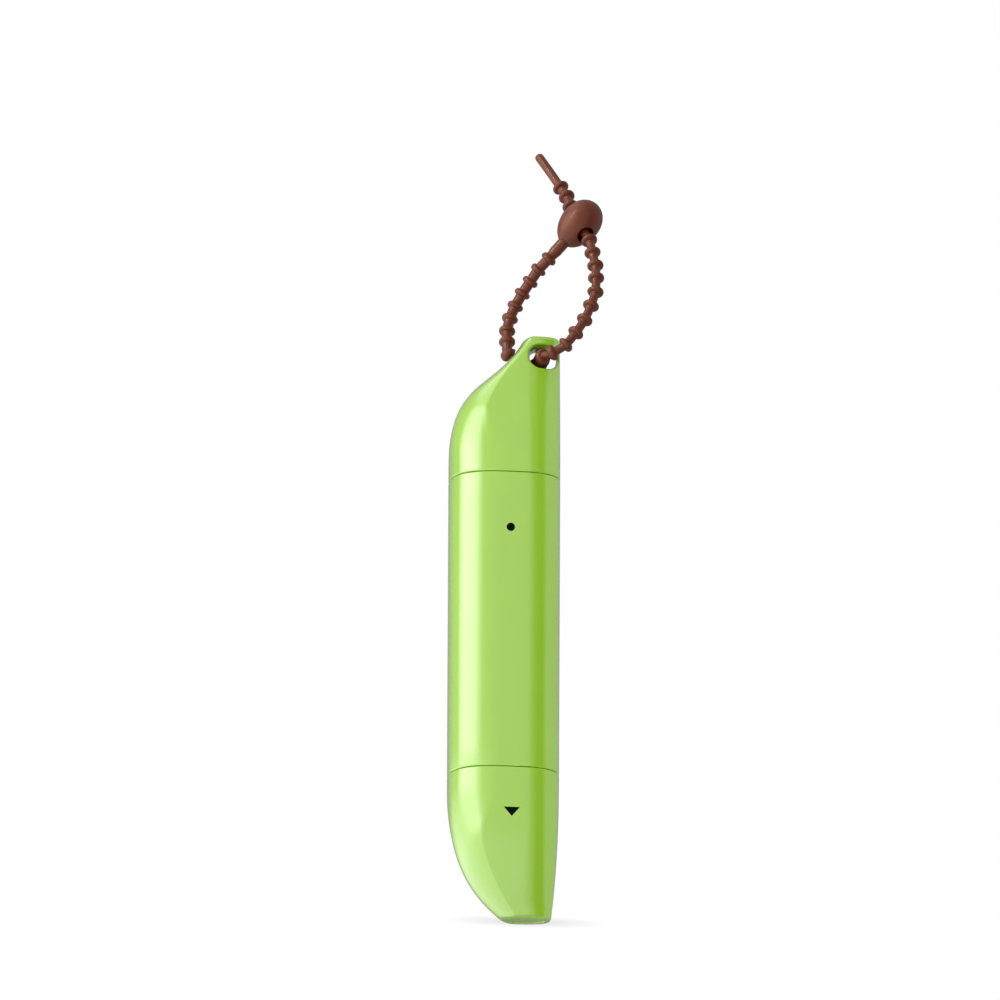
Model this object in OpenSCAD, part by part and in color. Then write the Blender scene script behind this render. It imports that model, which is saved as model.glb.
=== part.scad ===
// Double-ended stain remover pen: a barrel with a felt remover nib at the top, a brush at the bottom,
// a slanted cap over each end and a beaded silicone tie through the upper cap's tongue.
// Millimetres. +Z runs up the pen from the foot of the brush cap, -Y is the printed front.

/* [Body] */
// Width of the pen across its front
body_w = 26; // [24:0.5:30]
// Depth of the pen from front to back
body_d = 24; // [23:0.5:28]
// Squareness of the outline, where 2 is an ellipse
squareness = 2.5; // [2.3:0.1:3]
// Width of the flat along the middle of the front and the back
front_flat = 2.4; // [1.6:0.2:4]
// Length of the barrel between the two seams
barrel_len = 70.8; // [62:0.2:85]
// Wall of the barrel and of both caps
wall = 1.6; // [1.2:0.1:1.8]
// Gap that shows as a dark line at each seam
seam_gap = 0.3; // [0.1:0.05:0.5]
// Depth to which each collar is plugged into the barrel
plug_h = 6; // [5:0.5:8]

/* [Remover cap] */
// Length of the remover cap from the seam to the top of the tongue
remover_cap_len = 35; // [34:0.5:42]
// Depth of the tongue at its top, front to back
tongue_d = 7.6; // [6.6:0.2:10]
// Radius of the tongue's top edge
tongue_edge_r = 1.2; // [0.6:0.1:1.6]
// Height of the lanyard hole
hole_h = 5; // [4.6:0.1:5.4]
// Width of the lanyard hole
hole_w = 6.8; // [6:0.1:7.2]
// Wall between the lanyard hole and the straight edge of the cap
hole_side_wall = 0.8; // [0.8:0.1:1.4]
// Drop of the lanyard hole's middle below the top of the tongue
hole_drop = 5.3; // [4.8:0.1:6]

/* [Brush cap] */
// Length of the brush cap from the seam to its foot
brush_cap_len = 34.5; // [33:0.5:42]
// Depth of the foot, front to back
foot_d = 8.4; // [7.4:0.2:11]
// Radius of the foot's edge
foot_edge_r = 0.7; // [0.4:0.1:1]

/* [Remover end] */
// Radius of the neck that the remover cap snaps on
remover_neck_r = 8.4; // [8:0.1:8.8]
// Height of that neck above the seam
remover_neck_h = 8; // [7:0.25:9]
// Radius of the felt nib
nib_r = 2.9; // [2.4:0.1:3.2]
// Length of the nib that stands out of its guide
nib_out = 3.6; // [2.6:0.1:4]
// Travel of the nib when it is pressed
valve_travel = 1.5; // [1:0.1:1.8]

/* [Reservoir] */
// Outer radius of the reservoir bottle
bottle_r = 9.2; // [8.4:0.1:9.6]
// Wall of the reservoir bottle
bottle_wall = 0.9; // [0.7:0.05:1.1]
// Outer radius of the bottle's neck
bottle_neck_r = 6; // [5.8:0.1:6.4]

/* [Brush end] */
// Radius of the neck that the brush cap snaps on
brush_neck_r = 9.3; // [8.9:0.1:9.4]
// Height of that neck below the seam
brush_neck_h = 6.5; // [5.5:0.25:7]
// Length of the bristles outside their backing
bristle_len = 13.4; // [10:0.2:14]
// Rings of tufts round the middle one
tuft_rings = 3; // [2:1:3]
// Distance from one ring of tufts to the next
tuft_pitch = 2.1; // [1.9:0.05:2.15]
// Radius of one strand, drawn thicker than the real filament
strand_r = 0.2; // [0.14:0.02:0.24]

/* [Bead tie] */
// Diameter of the tie's core at its tail
core_d = 2.1; // [1.8:0.1:2.4]
// Diameter of its beads
bead_d = 3.9; // [3.5:0.1:4]
// Diameter of the plain neck at the lock bead
tie_neck_d = 2.9; // [2.6:0.1:3.2]
// Length of the lock bead
lock_len = 12.6; // [11:0.2:14]
// Greatest diameter of the lock bead
lock_d = 9.4; // [8.6:0.2:10.4]

/* [Clearances] */
// Radial gap of pieces that are pressed together
fit_gap = 0.05; // [0.02:0.01:0.08]
// Radial gap between a cap's liner and the snap bead it slides over
run_gap = 0.06; // [0.04:0.01:0.1]
// Gap between a liner's flange and the inside of its cap
liner_gap = 0.15; // [0.12:0.01:0.2]

/* [Hidden] */
$fn = 28;

green = "#a4d65e";
rubber = "#2f3130";
valve_grey = "#dfe6e2";
milky = "#eef3ea";
brown = "#70402f";

half_w = body_w / 2;
half_d = body_d / 2;
flat = front_flat / 2;
lower_seam = brush_cap_len;
upper_seam = lower_seam + barrel_len;
overlap = 1;

// Points round a quarter of an outline, coarse on the inside of the caps
outer_steps = 9;
inner_steps = 6;
outer_rings = 17;
inner_rings = 6;
small_sides = 14;
chamfer = 0.25;

// Liners, the snap beads that they slide over and the ribs that carry them
snap_proud = 0.2;
snap_h = 2;
snap_foot = 1.4;
remover_snap_drop = 3;
brush_snap_drop = 2.4;
liner_wall = 0.8;
brush_liner_wall = 0.55;
liner_flange_h = 2;
remover_liner_bore = remover_neck_r + snap_proud + run_gap;
remover_liner_r = remover_liner_bore + liner_wall;
remover_liner_lip = remover_neck_h + 0.8;
remover_liner_shoulder = remover_liner_lip + 4.2;
liner_cone_w = 0.6;
liner_cone_h = 2;
brush_liner_bore = brush_neck_r + snap_proud / 2 + run_gap;
brush_liner_r = brush_liner_bore + brush_liner_wall;
brush_liner_lip = brush_neck_h + 0.6;
rib_w = 1.2;
rib_h = 5;

// Reservoir plug: its groove for the seal and the recess in its foot
plug_groove_depth = 1.6;
plug_groove_w = 1.8;
plug_groove_z = 3;
plug_recess = 1.6;
plug_rim = 3;
seal_gap = 0.02;

// Valve stack, from the top of the bottle's neck upwards
seal_t = 0.5;
valve_flange_t = 0.9;
bottle_top = upper_seam - valve_flange_t - seal_t;
bottle_bottom = lower_seam + plug_h;
shoulder_h = 4;
neck_bore_r = bottle_neck_r - bottle_wall;
seat_t = 1.4;
guide_r = neck_bore_r + 0.1;
valve_body_h = 11;
valve_bore_r = 3.6;
valve_floor_t = 1;
window_w = 2;
window_h = 3;
window_sill = 1.4;
inlet_r = 1.3;
valve_floor = bottle_top + seal_t - valve_body_h + valve_floor_t;
plunger_r = 3.3;
plunger_h = 4.1;
stem_r = 1.6;
stem_gap = 0.3;
stem_disc_t = 1;
stem_disc_step = 0.3;
pin_r = 1;
pin_room = valve_travel + 0.9;
guide_foot = upper_seam + seat_t;
guide_shoulder_r = 7.2;
guide_shoulder_t = 1;
guide_cone_h = 2.6;
guide_cone_w = 2.2;
guide_cone_step = 0.6;
guide_lip = 1;
vent_r = 0.5;
vent_out = 2.9;
vent_rise = 0.4;
guide_top = upper_seam + remover_neck_h + guide_shoulder_t + guide_cone_h;
nib_gap = 0.1;
press_room = 0.2;
nib_foot = guide_foot + valve_travel + press_room + stem_disc_t;
nib_tip = guide_top + nib_out;
nib_dome_h = 0.9 * nib_r;
chisel_angle = 28;
chisel_lift = 0.45;
spring_wire_r = 0.3;
spring_r = 2.4;
spring_turns = 5;
spring_steps = 10;
spring_seat_gap = 0.02;

// Remover cap: how far the hollow and its liner reach above the seam
hole_z = upper_seam + remover_cap_len - hole_drop;
hole_x = half_w - hole_side_wall - hole_w / 2;
hole_floor = 1.8;
remover_hollow = remover_cap_len - hole_drop - hole_h / 2 - hole_floor;
rim_flare = 0.5;
rim_depth = 2.4;
liner_crown_r = 5.1;
nib_headroom = 5.1;
liner_ceiling = nib_tip - upper_seam + nib_headroom;

// Brush end
brush_neck_wall = 1.3;
head_r = brush_neck_r - brush_neck_wall;
head_flange_t = 1;
head_flange_step = 0.4;
head_wall = 1.2;
head_floor = 3;
backing_t = 0.6;
backing_rim = 1.2;
backing_top = lower_seam - brush_neck_h - head_flange_t;
foot_t = 2.4;
brush_hollow = brush_cap_len - foot_t;

// Centreline of the tie from the tip of its tail, through the lock bead, down the front, through the
// lanyard hole and up the back. Each point from the third to the last but one is the middle of a bead.
tie_route = [[10.8, 21.6, 190.1], [13.2, 18.8, 185.6],
    [15.4, 16, 181.2], [16.5, 13.8, 178.5], [17.1, 11.6, 175.6], [18, 9.1, 172.4], [19.1, 6.5, 169.1],
    [20.5, 3.8, 165.6], [21, 1.8, 162.2], [21.4, -0.2, 158.6], [21.3, -2.2, 155.1], [20.9, -4, 151.3],
    [19.6, -5.7, 147.5], [17.9, -7.2, 143.7], [15.6, -8.6, 140.1], [13.1, -9.1, 137], [10.3, -8.3, 135.2],
    [8.3, -5.3, 134.8], [8.5, -1.8, 134.9], [8.5, 1.9, 134.9], [8, 5.4, 134.9], [5.6, 8.6, 136],
    [2.2, 9.4, 138.6], [2, 10.6, 141.9], [2.2, 12, 144.9], [3, 13, 148.2], [4.3, 13.3, 151.3],
    [5.9, 12.8, 154.3], [7.6, 11.8, 157], [9.4, 10.6, 159.7], [11.6, 9.3, 162.1], [15.6, 8.2, 166.6]];
tie_normal = [0.45, -0.85, 0.28];
tie_sides = 8;
first_bead = 2;
last_bead = len(tie_route) - 2;
thick_core_d = 2.5;
lock_middle = [18.7, 7.7, 170.5];
lock_gap = 0.1;
lock_bore_r = bead_d / 2 + lock_gap;
lock_swell = 0.08;

// A tail's tip and a bead, each as steps along the tie against shares of the radius
tail_form = [[0, 0.56], [0.06, 0.88], [0.16, 1], [0.6, 1], [1, 1], [1.4, 1]];
bead_form = [[-0.22, 0], [-0.07, 1], [0.07, 1], [0.22, 0]];

// Helpers
function mix(a, b, t) = a + (b - a) * t;
function ease(t) = let (c = min(1, max(0, t))) c * c * (3 - 2 * c);
function unit(v) = v / norm(v);
function bezier(p, t) = pow(1 - t, 3) * p[0] + 3 * pow(1 - t, 2) * t * p[1]
    + 3 * (1 - t) * t * t * p[2] + pow(t, 3) * p[3];
function at_height(x, z) = [for (i = [0 : len(x) - 1]) [x[i][0], x[i][1], z]];

// Outline of the pen: a superellipse quarter on each side of a short flat, front and back alike
function outline(left, flat_left, flat_right, right, depth, left_power, steps) = let (
    right_back = [for (i = [0 : steps]) let (a = 90 * i / steps)
        [mix(flat_right, right, pow(cos(a), 2 / squareness)), depth * pow(sin(a), 2 / squareness)]],
    left_back = [for (i = [steps : -1 : 0]) let (a = 90 * i / steps)
        [mix(flat_left, left, pow(cos(a), 2 / left_power)), depth * pow(sin(a), 2 / left_power)]],
    back = concat(right_back, left_back))
    concat(back, [for (i = [len(back) - 2 : -1 : 1]) [back[i][0], -back[i][1]]]);

function body_outline(inset, steps) = outline(-half_w + inset, -flat, flat, half_w - inset,
    half_d - inset, squareness, steps);

// Slanted left edge of each cap, as distance from the seam against x
function edge_table(curves, steps) = [for (c = curves) for (i = [0 : steps])
    let (p = bezier(c, i / steps)) [p[1], p[0]]];
remover_edge = edge_table([
    [[-half_w, 0.17 * remover_cap_len], [-half_w, 0.5 * remover_cap_len],
        [-0.615 * half_w, 0.62 * remover_cap_len], [-0.317 * half_w, 0.71 * remover_cap_len]],
    [[-0.317 * half_w, 0.7101 * remover_cap_len], [-0.078 * half_w, 0.782 * remover_cap_len],
        [0.23 * half_w, 0.891 * remover_cap_len], [0.354 * half_w, remover_cap_len]]], 16);
brush_edge = edge_table([
    [[-half_w, 0.116 * brush_cap_len], [-half_w, 0.696 * brush_cap_len],
        [-0.369 * half_w, 0.887 * brush_cap_len], [-0.015 * half_w, brush_cap_len]]], 24);

// Half the remover cap's depth at a share t of its length
function cap_depth(t) = mix(half_d, tongue_d / 2, pow(t, 1.7));

// One ring of the remover cap at height u above the seam, drawn in by an inset
function remover_ring(u, inset, steps) = let (
    t = max(0, u / remover_cap_len),
    soft = ease((t - 0.11) / 0.4),
    left = lookup(u, remover_edge) + inset,
    crease = half_w * (0.9 * pow(max(0, t - 0.457) / 0.543, 1.25) - 0.408),
    flat_left = max(mix(-flat, crease, soft), left + 0.4),
    flat_right = max(flat, flat_left + 0.8),
    depth = cap_depth(t) - inset)
    at_height(outline(left, flat_left, flat_right, half_w - inset, depth,
        mix(squareness, 1.6, soft), steps), upper_seam + u);

// One ring of the brush cap at distance v below the seam
function brush_ring(v, inset, steps) = let (
    t = max(0, v / brush_cap_len),
    soft = ease((t - 0.1) / 0.4),
    left = lookup(v, brush_edge) + inset,
    crease = half_w * (0.708 * pow(max(0, t - 0.406) / 0.594, 1.8) - 0.485),
    flat_left = max(mix(-flat, crease, soft), left + 0.4),
    flat_right = max(flat, flat_left + 0.8),
    right = half_w * (1 - 0.123 * pow(t, 2.5)) - inset,
    depth = mix(half_d, foot_d / 2, pow(t, 2.4)) - inset)
    at_height(outline(left, flat_left, flat_right, right, depth,
        mix(squareness, 1.6, soft), steps), lower_seam - v);

// Heights and insets of a cap's rings: a chamfer at the mouth, then the side, then the rounded end
function cap_stations(length, edge_r) = concat(
    [[seam_gap, chamfer]],
    [for (i = [0 : outer_rings - 1])
        [mix(seam_gap + chamfer, length - edge_r, pow(i / (outer_rings - 1), 0.85)), 0]],
    [for (a = [30 : 30 : 90]) [length - edge_r * (1 - sin(a)), edge_r * (1 - cos(a))]]);

// Heights of a hollow's rings: straight past the liner's flange, then even steps to its end
function hollow_stations(end) = concat([-overlap],
    [for (i = [0 : inner_rings]) mix(liner_flange_h, end, i / inner_rings)]);

// Closed skin over rings that are listed upwards, each counter-clockwise from above
module skin(rings) {
    n = len(rings[0]);
    last = len(rings) - 1;
    points = [for (r = rings) each r];
    sides = [for (i = [0 : last - 1]) for (j = [0 : n - 1]) let (
        a = i * n + j, b = i * n + (j + 1) % n, c = b + n, d = a + n) each [[a, d, c], [a, c, b]]];
    foot = [for (j = [0 : n - 1]) j];
    top = [for (j = [n - 1 : -1 : 0]) last * n + j];
    polyhedron(points, concat(sides, [foot, top]));
}

module ring(outer, inner, from, to) {
    translate([0, 0, from]) difference() {
        cylinder(r = outer, h = to - from);
        translate([0, 0, -overlap]) cylinder(r = inner, h = to - from + 2 * overlap);
    }
}

// Round snap bead on a neck, wide at the middle of its height
module snap_bead(r, z) {
    half = snap_h / 2;
    translate([0, 0, z]) rotate_extrude() polygon([[r - overlap, -snap_foot], [r, -half],
        [r + snap_proud, -half / 4], [r + snap_proud, half / 4], [r, half], [r - overlap, snap_foot]]);
}

// Four ribs on the diagonals, from a radius out into the wall
module diagonal_ribs(inner_r, outer_r, from, to) {
    for (a = [45 : 90 : 315]) rotate([0, 0, a])
        translate([inner_r, -rib_w / 2, from]) cube([outer_r - inner_r, rib_w, to - from]);
}

// Reach of the pen's outline on its diagonals, which the ribs' outer ends share inside the wall
function diagonal_reach(inset) = let (k = pow(cos(45), 2 / squareness))
    norm([mix(flat, half_w - inset, k), k * (half_d - inset)]);
rib_outer_r = diagonal_reach(0.7 * wall);

// Barrel
module barrel_shell() color(green) {
    difference() {
        translate([0, 0, lower_seam]) linear_extrude(barrel_len) polygon(body_outline(0, outer_steps));
        translate([0, 0, lower_seam - overlap]) linear_extrude(barrel_len + 2 * overlap)
            polygon(body_outline(wall, outer_steps));
    }
    diagonal_ribs(bottle_r + fit_gap, rib_outer_r, lower_seam + plug_h, upper_seam - plug_h);
}

module reservoir_bottle() color(milky) {
    shoulder = upper_seam - plug_h - shoulder_h;
    neck_foot = upper_seam - plug_h;
    rotate_extrude() polygon([
        [bottle_r - bottle_wall, bottle_bottom], [bottle_r, bottle_bottom], [bottle_r, shoulder],
        [bottle_neck_r, neck_foot], [bottle_neck_r, bottle_top], [neck_bore_r, bottle_top],
        [neck_bore_r, neck_foot - bottle_wall], [bottle_r - bottle_wall, shoulder - bottle_wall / 2]]);
}

module reservoir_plug() color(milky) {
    r = bottle_r - bottle_wall - fit_gap;
    groove_r = bottle_r - bottle_wall - plug_groove_depth;
    translate([0, 0, bottle_bottom]) difference() {
        cylinder(r = r, h = plug_h);
        ring(r + overlap, groove_r, plug_groove_z, plug_groove_z + plug_groove_w);
        translate([0, 0, -overlap]) cylinder(r = r - plug_rim, h = overlap + plug_recess);
    }
}

// Ring in the plug's groove, which fills it up to the bottle's wall
module plug_seal() color(rubber) {
    seal_r = plug_groove_depth / 2 - seal_gap;
    translate([0, 0, bottle_bottom + plug_groove_z + plug_groove_w / 2]) rotate_extrude()
        translate([bottle_r - bottle_wall - plug_groove_depth / 2, 0]) circle(r = seal_r, $fn = small_sides);
}

module bottle_seal() color(rubber)
    ring(bottle_neck_r, neck_bore_r + fit_gap, bottle_top, bottle_top + seal_t);

// Collar that closes the barrel's upper end and carries the remover cap's neck
module remover_collar() color(milky) difference() {
    union() {
        translate([0, 0, upper_seam - plug_h]) linear_extrude(plug_h)
            polygon(body_outline(wall + fit_gap, outer_steps));
        translate([0, 0, upper_seam - overlap]) cylinder(r = remover_neck_r, h = remover_neck_h + overlap);
        snap_bead(remover_neck_r, upper_seam + remover_neck_h - remover_snap_drop);
    }
    translate([0, 0, upper_seam - plug_h - overlap])
        cylinder(r = bottle_neck_r + fit_gap, h = plug_h + overlap);
    translate([0, 0, upper_seam - overlap])
        cylinder(r = guide_r + fit_gap, h = remover_neck_h + 2 * overlap);
}

// Conical nozzle that guides the nib
module nib_guide() color("white") {
    bore = nib_r + nib_gap;
    top = upper_seam + remover_neck_h;
    difference() {
        rotate_extrude() polygon([
            [bore, guide_foot], [guide_r, guide_foot], [guide_r, top], [guide_shoulder_r, top],
            [guide_shoulder_r, top + guide_shoulder_t],
            [bore + guide_cone_w, top + guide_shoulder_t + guide_cone_step],
            [bore + guide_lip, guide_top], [bore, guide_top]]);
        for (a = [0 : 90 : 270]) rotate([0, 0, a])
            translate([bore + vent_out, 0, top + vent_rise])
                cylinder(r = vent_r, h = guide_cone_h, $fn = small_sides);
    }
}

// Spring chamber in the bottle's neck, with three windows for the liquid
module valve_body() color(valve_grey) {
    r = neck_bore_r - fit_gap;
    foot = valve_floor - valve_floor_t;
    difference() {
        union() {
            translate([0, 0, foot]) cylinder(r = r, h = bottle_top + seal_t - foot + valve_flange_t / 2);
            translate([0, 0, bottle_top + seal_t]) cylinder(r = bottle_neck_r, h = valve_flange_t);
        }
        translate([0, 0, valve_floor]) cylinder(r = valve_bore_r, h = valve_body_h + overlap);
        translate([0, 0, foot - overlap]) cylinder(r = inlet_r, h = valve_floor_t + 2 * overlap);
        for (a = [30 : 120 : 270]) rotate([0, 0, a])
            translate([0, -window_w / 2, valve_floor + window_sill]) cube([r + overlap, window_w, window_h]);
    }
}

module valve_seat() color(rubber) ring(guide_r, stem_r + stem_gap, upper_seam, guide_foot);

// Plunger, stem and the disc that the nib stands on
module valve_stem() color(valve_grey) {
    plunger_foot = upper_seam - plunger_h;
    pin_end = valve_floor + pin_room;
    disc_foot = nib_foot - stem_disc_t;
    translate([0, 0, plunger_foot]) cylinder(r = plunger_r, h = plunger_h);
    translate([0, 0, pin_end]) cylinder(r = pin_r, h = plunger_foot + overlap - pin_end);
    translate([0, 0, upper_seam - overlap])
        cylinder(r = stem_r, h = disc_foot + stem_disc_t / 2 - upper_seam + overlap);
    translate([0, 0, disc_foot]) cylinder(r = nib_r - stem_disc_step, h = stem_disc_t);
}

// Compression spring between the chamber's floor and the plunger
module valve_spring() color("#b9bec2") {
    low = valve_floor + spring_wire_r + spring_seat_gap;
    high = upper_seam - plunger_h - spring_wire_r - spring_seat_gap;
    steps = spring_steps * spring_turns;
    climb = (high - low) / (2 * PI * spring_r * spring_turns);
    skin([for (i = [0 : steps]) let (a = 360 * i / spring_steps, z = mix(low, high, i / steps))
        [for (b = [0 : 60 : 300])
            let (out = spring_r + spring_wire_r * cos(b), up = -spring_wire_r * sin(b))
            [out * cos(a) + up * climb * sin(a), out * sin(a) - up * climb * cos(a), z + up]]]);
}

// Felt nib with a rounded chisel tip
module nib() color("#f4f1e4") {
    dome_foot = nib_tip - nib_dome_h;
    difference() {
        union() {
            translate([0, 0, nib_foot]) cylinder(r = nib_r, h = dome_foot - nib_foot);
            translate([0, 0, dome_foot]) rotate_extrude() polygon(concat([[0, 0]],
                [for (a = [0 : 15 : 75]) [nib_r * pow(cos(a), 0.7), nib_dome_h * sin(a)]],
                [[0, nib_dome_h]]));
        }
        translate([-nib_r, 0, nib_tip + chisel_lift]) rotate([0, chisel_angle, 0])
            translate([-nib_r, -2 * nib_r, 0]) cube([5 * nib_r, 4 * nib_r, 2 * nib_r]);
    }
}

// Collar that closes the barrel's lower end and carries the brush cap's neck
module brush_collar() color(milky) difference() {
    union() {
        translate([0, 0, lower_seam]) linear_extrude(plug_h)
            polygon(body_outline(wall + fit_gap, outer_steps));
        translate([0, 0, lower_seam - brush_neck_h]) cylinder(r = brush_neck_r, h = brush_neck_h + overlap);
        snap_bead(brush_neck_r - snap_proud / 2, lower_seam - brush_neck_h + brush_snap_drop);
    }
    translate([0, 0, lower_seam - brush_neck_h - overlap])
        cylinder(r = head_r + fit_gap, h = brush_neck_h + plug_h / 2 + overlap);
}

// Carrier of the tufts, pressed into the brush collar
module brush_head() color("white") difference() {
    union() {
        translate([0, 0, backing_top]) cylinder(r = brush_neck_r - head_flange_step, h = head_flange_t);
        translate([0, 0, backing_top]) cylinder(r = head_r, h = head_flange_t + brush_neck_h + plug_h / 2);
    }
    translate([0, 0, backing_top + head_floor]) cylinder(r = head_r - head_wall, h = brush_neck_h + plug_h);
}

// Tufts of nine three-sided strands on rings, grown from a slice of the backing
tufts = concat([[0, 0]], [for (k = [1 : tuft_rings]) for (i = [0 : 6 * k - 1])
    let (a = 60 * i / k + 12 * k) tuft_pitch * k * [cos(a), sin(a)]]);
strand_places = concat([for (i = [0 : 2]) 0.33 * [cos(120 * i), sin(120 * i)]],
    [for (i = [0 : 5]) 0.74 * [cos(60 * i + 30), sin(60 * i + 30)]]);
module bristles() color("#f7f7f2") {
    translate([0, 0, backing_top - backing_t])
        cylinder(r = tuft_pitch * tuft_rings + backing_rim, h = backing_t);
    translate([0, 0, backing_top - backing_t - bristle_len]) linear_extrude(bristle_len + backing_t / 2)
        for (t = tufts) for (s = strand_places) translate(t + s)
            polygon([for (a = [0 : 120 : 240]) strand_r * [cos(a), sin(a)]]);
}

// Lanyard hole: a slot with flared rims on both faces of the tongue
module lanyard_hole() {
    r = hole_h / 2;
    straight = hole_w - hole_h;
    face = cap_depth((remover_cap_len - hole_drop) / remover_cap_len);
    rim = [[0, 0], [r, 0], [r, face - rim_depth], [r + rim_flare / 4, face - 0.6 * rim_depth],
        [r + rim_flare, face], [r + 3 * rim_flare, half_d], [0, half_d]];
    translate([hole_x, 0, hole_z]) for (side = [-90, 90]) rotate([side, 0, 0]) {
        for (x = [-straight / 2, straight / 2]) translate([x, 0, 0]) rotate_extrude() polygon(rim);
        rotate([90, 0, 90]) translate([0, 0, -straight / 2]) linear_extrude(straight)
            polygon(concat(rim, [for (i = [len(rim) - 1 : -1 : 1]) [-rim[i][0], rim[i][1]]]));
    }
}

function remover_skin(inset) = [for (s = cap_stations(remover_cap_len, tongue_edge_r))
    remover_ring(s[0], s[1] + inset, outer_steps)];

module remover_cap_shell() color(green) {
    difference() {
        skin(remover_skin(0));
        skin([for (u = hollow_stations(remover_hollow)) remover_ring(u, wall, inner_steps)]);
        lanyard_hole();
    }
    diagonal_ribs(remover_liner_r + liner_gap, rib_outer_r, upper_seam + liner_flange_h,
        upper_seam + liner_flange_h + rib_h);
}

// Inner cup that snaps on the neck and seals round the nib
module remover_cap_liner() color(milky) {
    lip = remover_liner_lip;
    shoulder = remover_liner_shoulder;
    difference() {
        union() {
            translate([0, 0, upper_seam]) linear_extrude(liner_flange_h)
                polygon(body_outline(wall + liner_gap, inner_steps));
            translate([0, 0, upper_seam]) rotate_extrude() polygon([[0, 0], [remover_liner_r, 0],
                [remover_liner_r, lip], [liner_crown_r + liner_wall + liner_cone_w, shoulder],
                [liner_crown_r + liner_wall, shoulder + liner_cone_h],
                [liner_crown_r + liner_wall, liner_ceiling + liner_wall], [0, liner_ceiling + liner_wall]]);
        }
        translate([0, 0, upper_seam]) rotate_extrude() polygon([[0, -overlap],
            [remover_liner_bore, -overlap], [remover_liner_bore, lip],
            [liner_crown_r + liner_cone_w, shoulder], [liner_crown_r, shoulder + liner_cone_h],
            [liner_crown_r, liner_ceiling], [0, liner_ceiling]]);
    }
}

module brush_cap_shell() color(green) {
    stations = cap_stations(brush_cap_len, foot_edge_r);
    hollow = hollow_stations(brush_hollow);
    difference() {
        skin([for (i = [len(stations) - 1 : -1 : 0])
            brush_ring(stations[i][0], stations[i][1], outer_steps)]);
        skin([for (i = [len(hollow) - 1 : -1 : 0]) brush_ring(hollow[i], wall, inner_steps)]);
    }
    diagonal_ribs(brush_liner_r + liner_gap, rib_outer_r, lower_seam - liner_flange_h - rib_h,
        lower_seam - liner_flange_h);
}

// Inner ring that snaps on the brush collar
module brush_cap_liner() color(milky) difference() {
    union() {
        translate([0, 0, lower_seam - liner_flange_h]) linear_extrude(liner_flange_h)
            polygon(body_outline(wall + liner_gap, inner_steps));
        translate([0, 0, lower_seam - brush_liner_lip]) cylinder(r = brush_liner_r, h = brush_liner_lip);
    }
    translate([0, 0, lower_seam - brush_neck_h - overlap])
        cylinder(r = brush_liner_bore, h = brush_neck_h + 2 * overlap);
}

// Point of the tie's centreline at a place along its route, by a spline through the route's points
function route_point(i) = tie_route[min(len(tie_route) - 1, max(0, i))];
function tie_point(s) = let (i = min(len(tie_route) - 2, floor(s)), t = s - i,
    a = route_point(i - 1), b = route_point(i), c = route_point(i + 1), d = route_point(i + 2))
    b + 0.5 * t * (c - a + t * (2 * a - 5 * b + 4 * c - d + t * (3 * (b - c) + d - a)));
function tie_heading(s) = unit(tie_point(s + 0.02) - tie_point(s - 0.02));
function tie_ring(s, r) = let (p = tie_point(s), t = tie_heading(min(len(tie_route) - 1.03, max(0.03, s))),
    n = unit(cross(tie_normal, t)), b = cross(t, n))
    [for (j = [0 : tie_sides - 1]) let (a = 360 * j / tie_sides) p + r * (n * cos(a) + b * sin(a))];
function core_r(s) = mix(core_d, thick_core_d, ease((s - 17) / 6)) / 2;
tie_stations = concat([for (f = tail_form) [f[0], core_d / 2 * f[1]]],
    [for (k = [first_bead : last_bead]) for (f = bead_form) [k + f[0], mix(core_r(k), bead_d / 2, f[1])]],
    [[last_bead + 0.4, tie_neck_d / 2], [last_bead + 1, tie_neck_d / 2]]);

module strap() color(brown) skin([for (s = tie_stations) tie_ring(s[0], s[1])]);

// Points +Z of its child along a direction
module aim(v) {
    rotate([0, acos(v[2] / norm(v)), atan2(v[1], v[0])]) children();
}

// Egg-shaped lock bead on the neck's end, with the bore that the tail is pulled through
module strap_lock() color(brown) translate(lock_middle) {
    neck_end = tie_route[len(tie_route) - 1];
    difference() {
        aim(lock_middle - neck_end) difference() {
            rotate_extrude() polygon([for (a = [-90 : 15 : 90])
                [lock_d / 2 * cos(a) * (1 + lock_swell * sin(a)), lock_len / 2 * sin(a)]]);
            translate([0, 0, -norm(lock_middle - neck_end) - lock_d])
                cylinder(r = tie_neck_d / 2 + lock_gap, h = lock_d);
        }
        aim(tie_route[first_bead + 2] - tie_route[first_bead + 5])
            translate([0, 0, -lock_d]) cylinder(r = lock_bore_r, h = 2 * lock_d);
    }
}

barrel_shell();
reservoir_bottle();
reservoir_plug();
plug_seal();
bottle_seal();
remover_collar();
nib_guide();
valve_body();
valve_seat();
valve_spring();
valve_stem();
nib();
brush_collar();
brush_head();
bristles();
remover_cap_shell();
remover_cap_liner();
brush_cap_shell();
brush_cap_liner();
strap();
strap_lock();
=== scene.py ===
"""Looks of a double-ended stain remover pen with a beaded silicone tie.

Sizes are written in millimetres and turned to metres where a mesh is made. The pen stands on the foot
of its brush cap, +Z runs up the pen and -Y is its front.
"""

import logging
import math
from dataclasses import dataclass
from enum import Enum
from typing import Dict, List, Optional, Sequence, Tuple, Union

import bmesh
import bpy
from mathutils import Matrix, Quaternion, Vector


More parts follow.
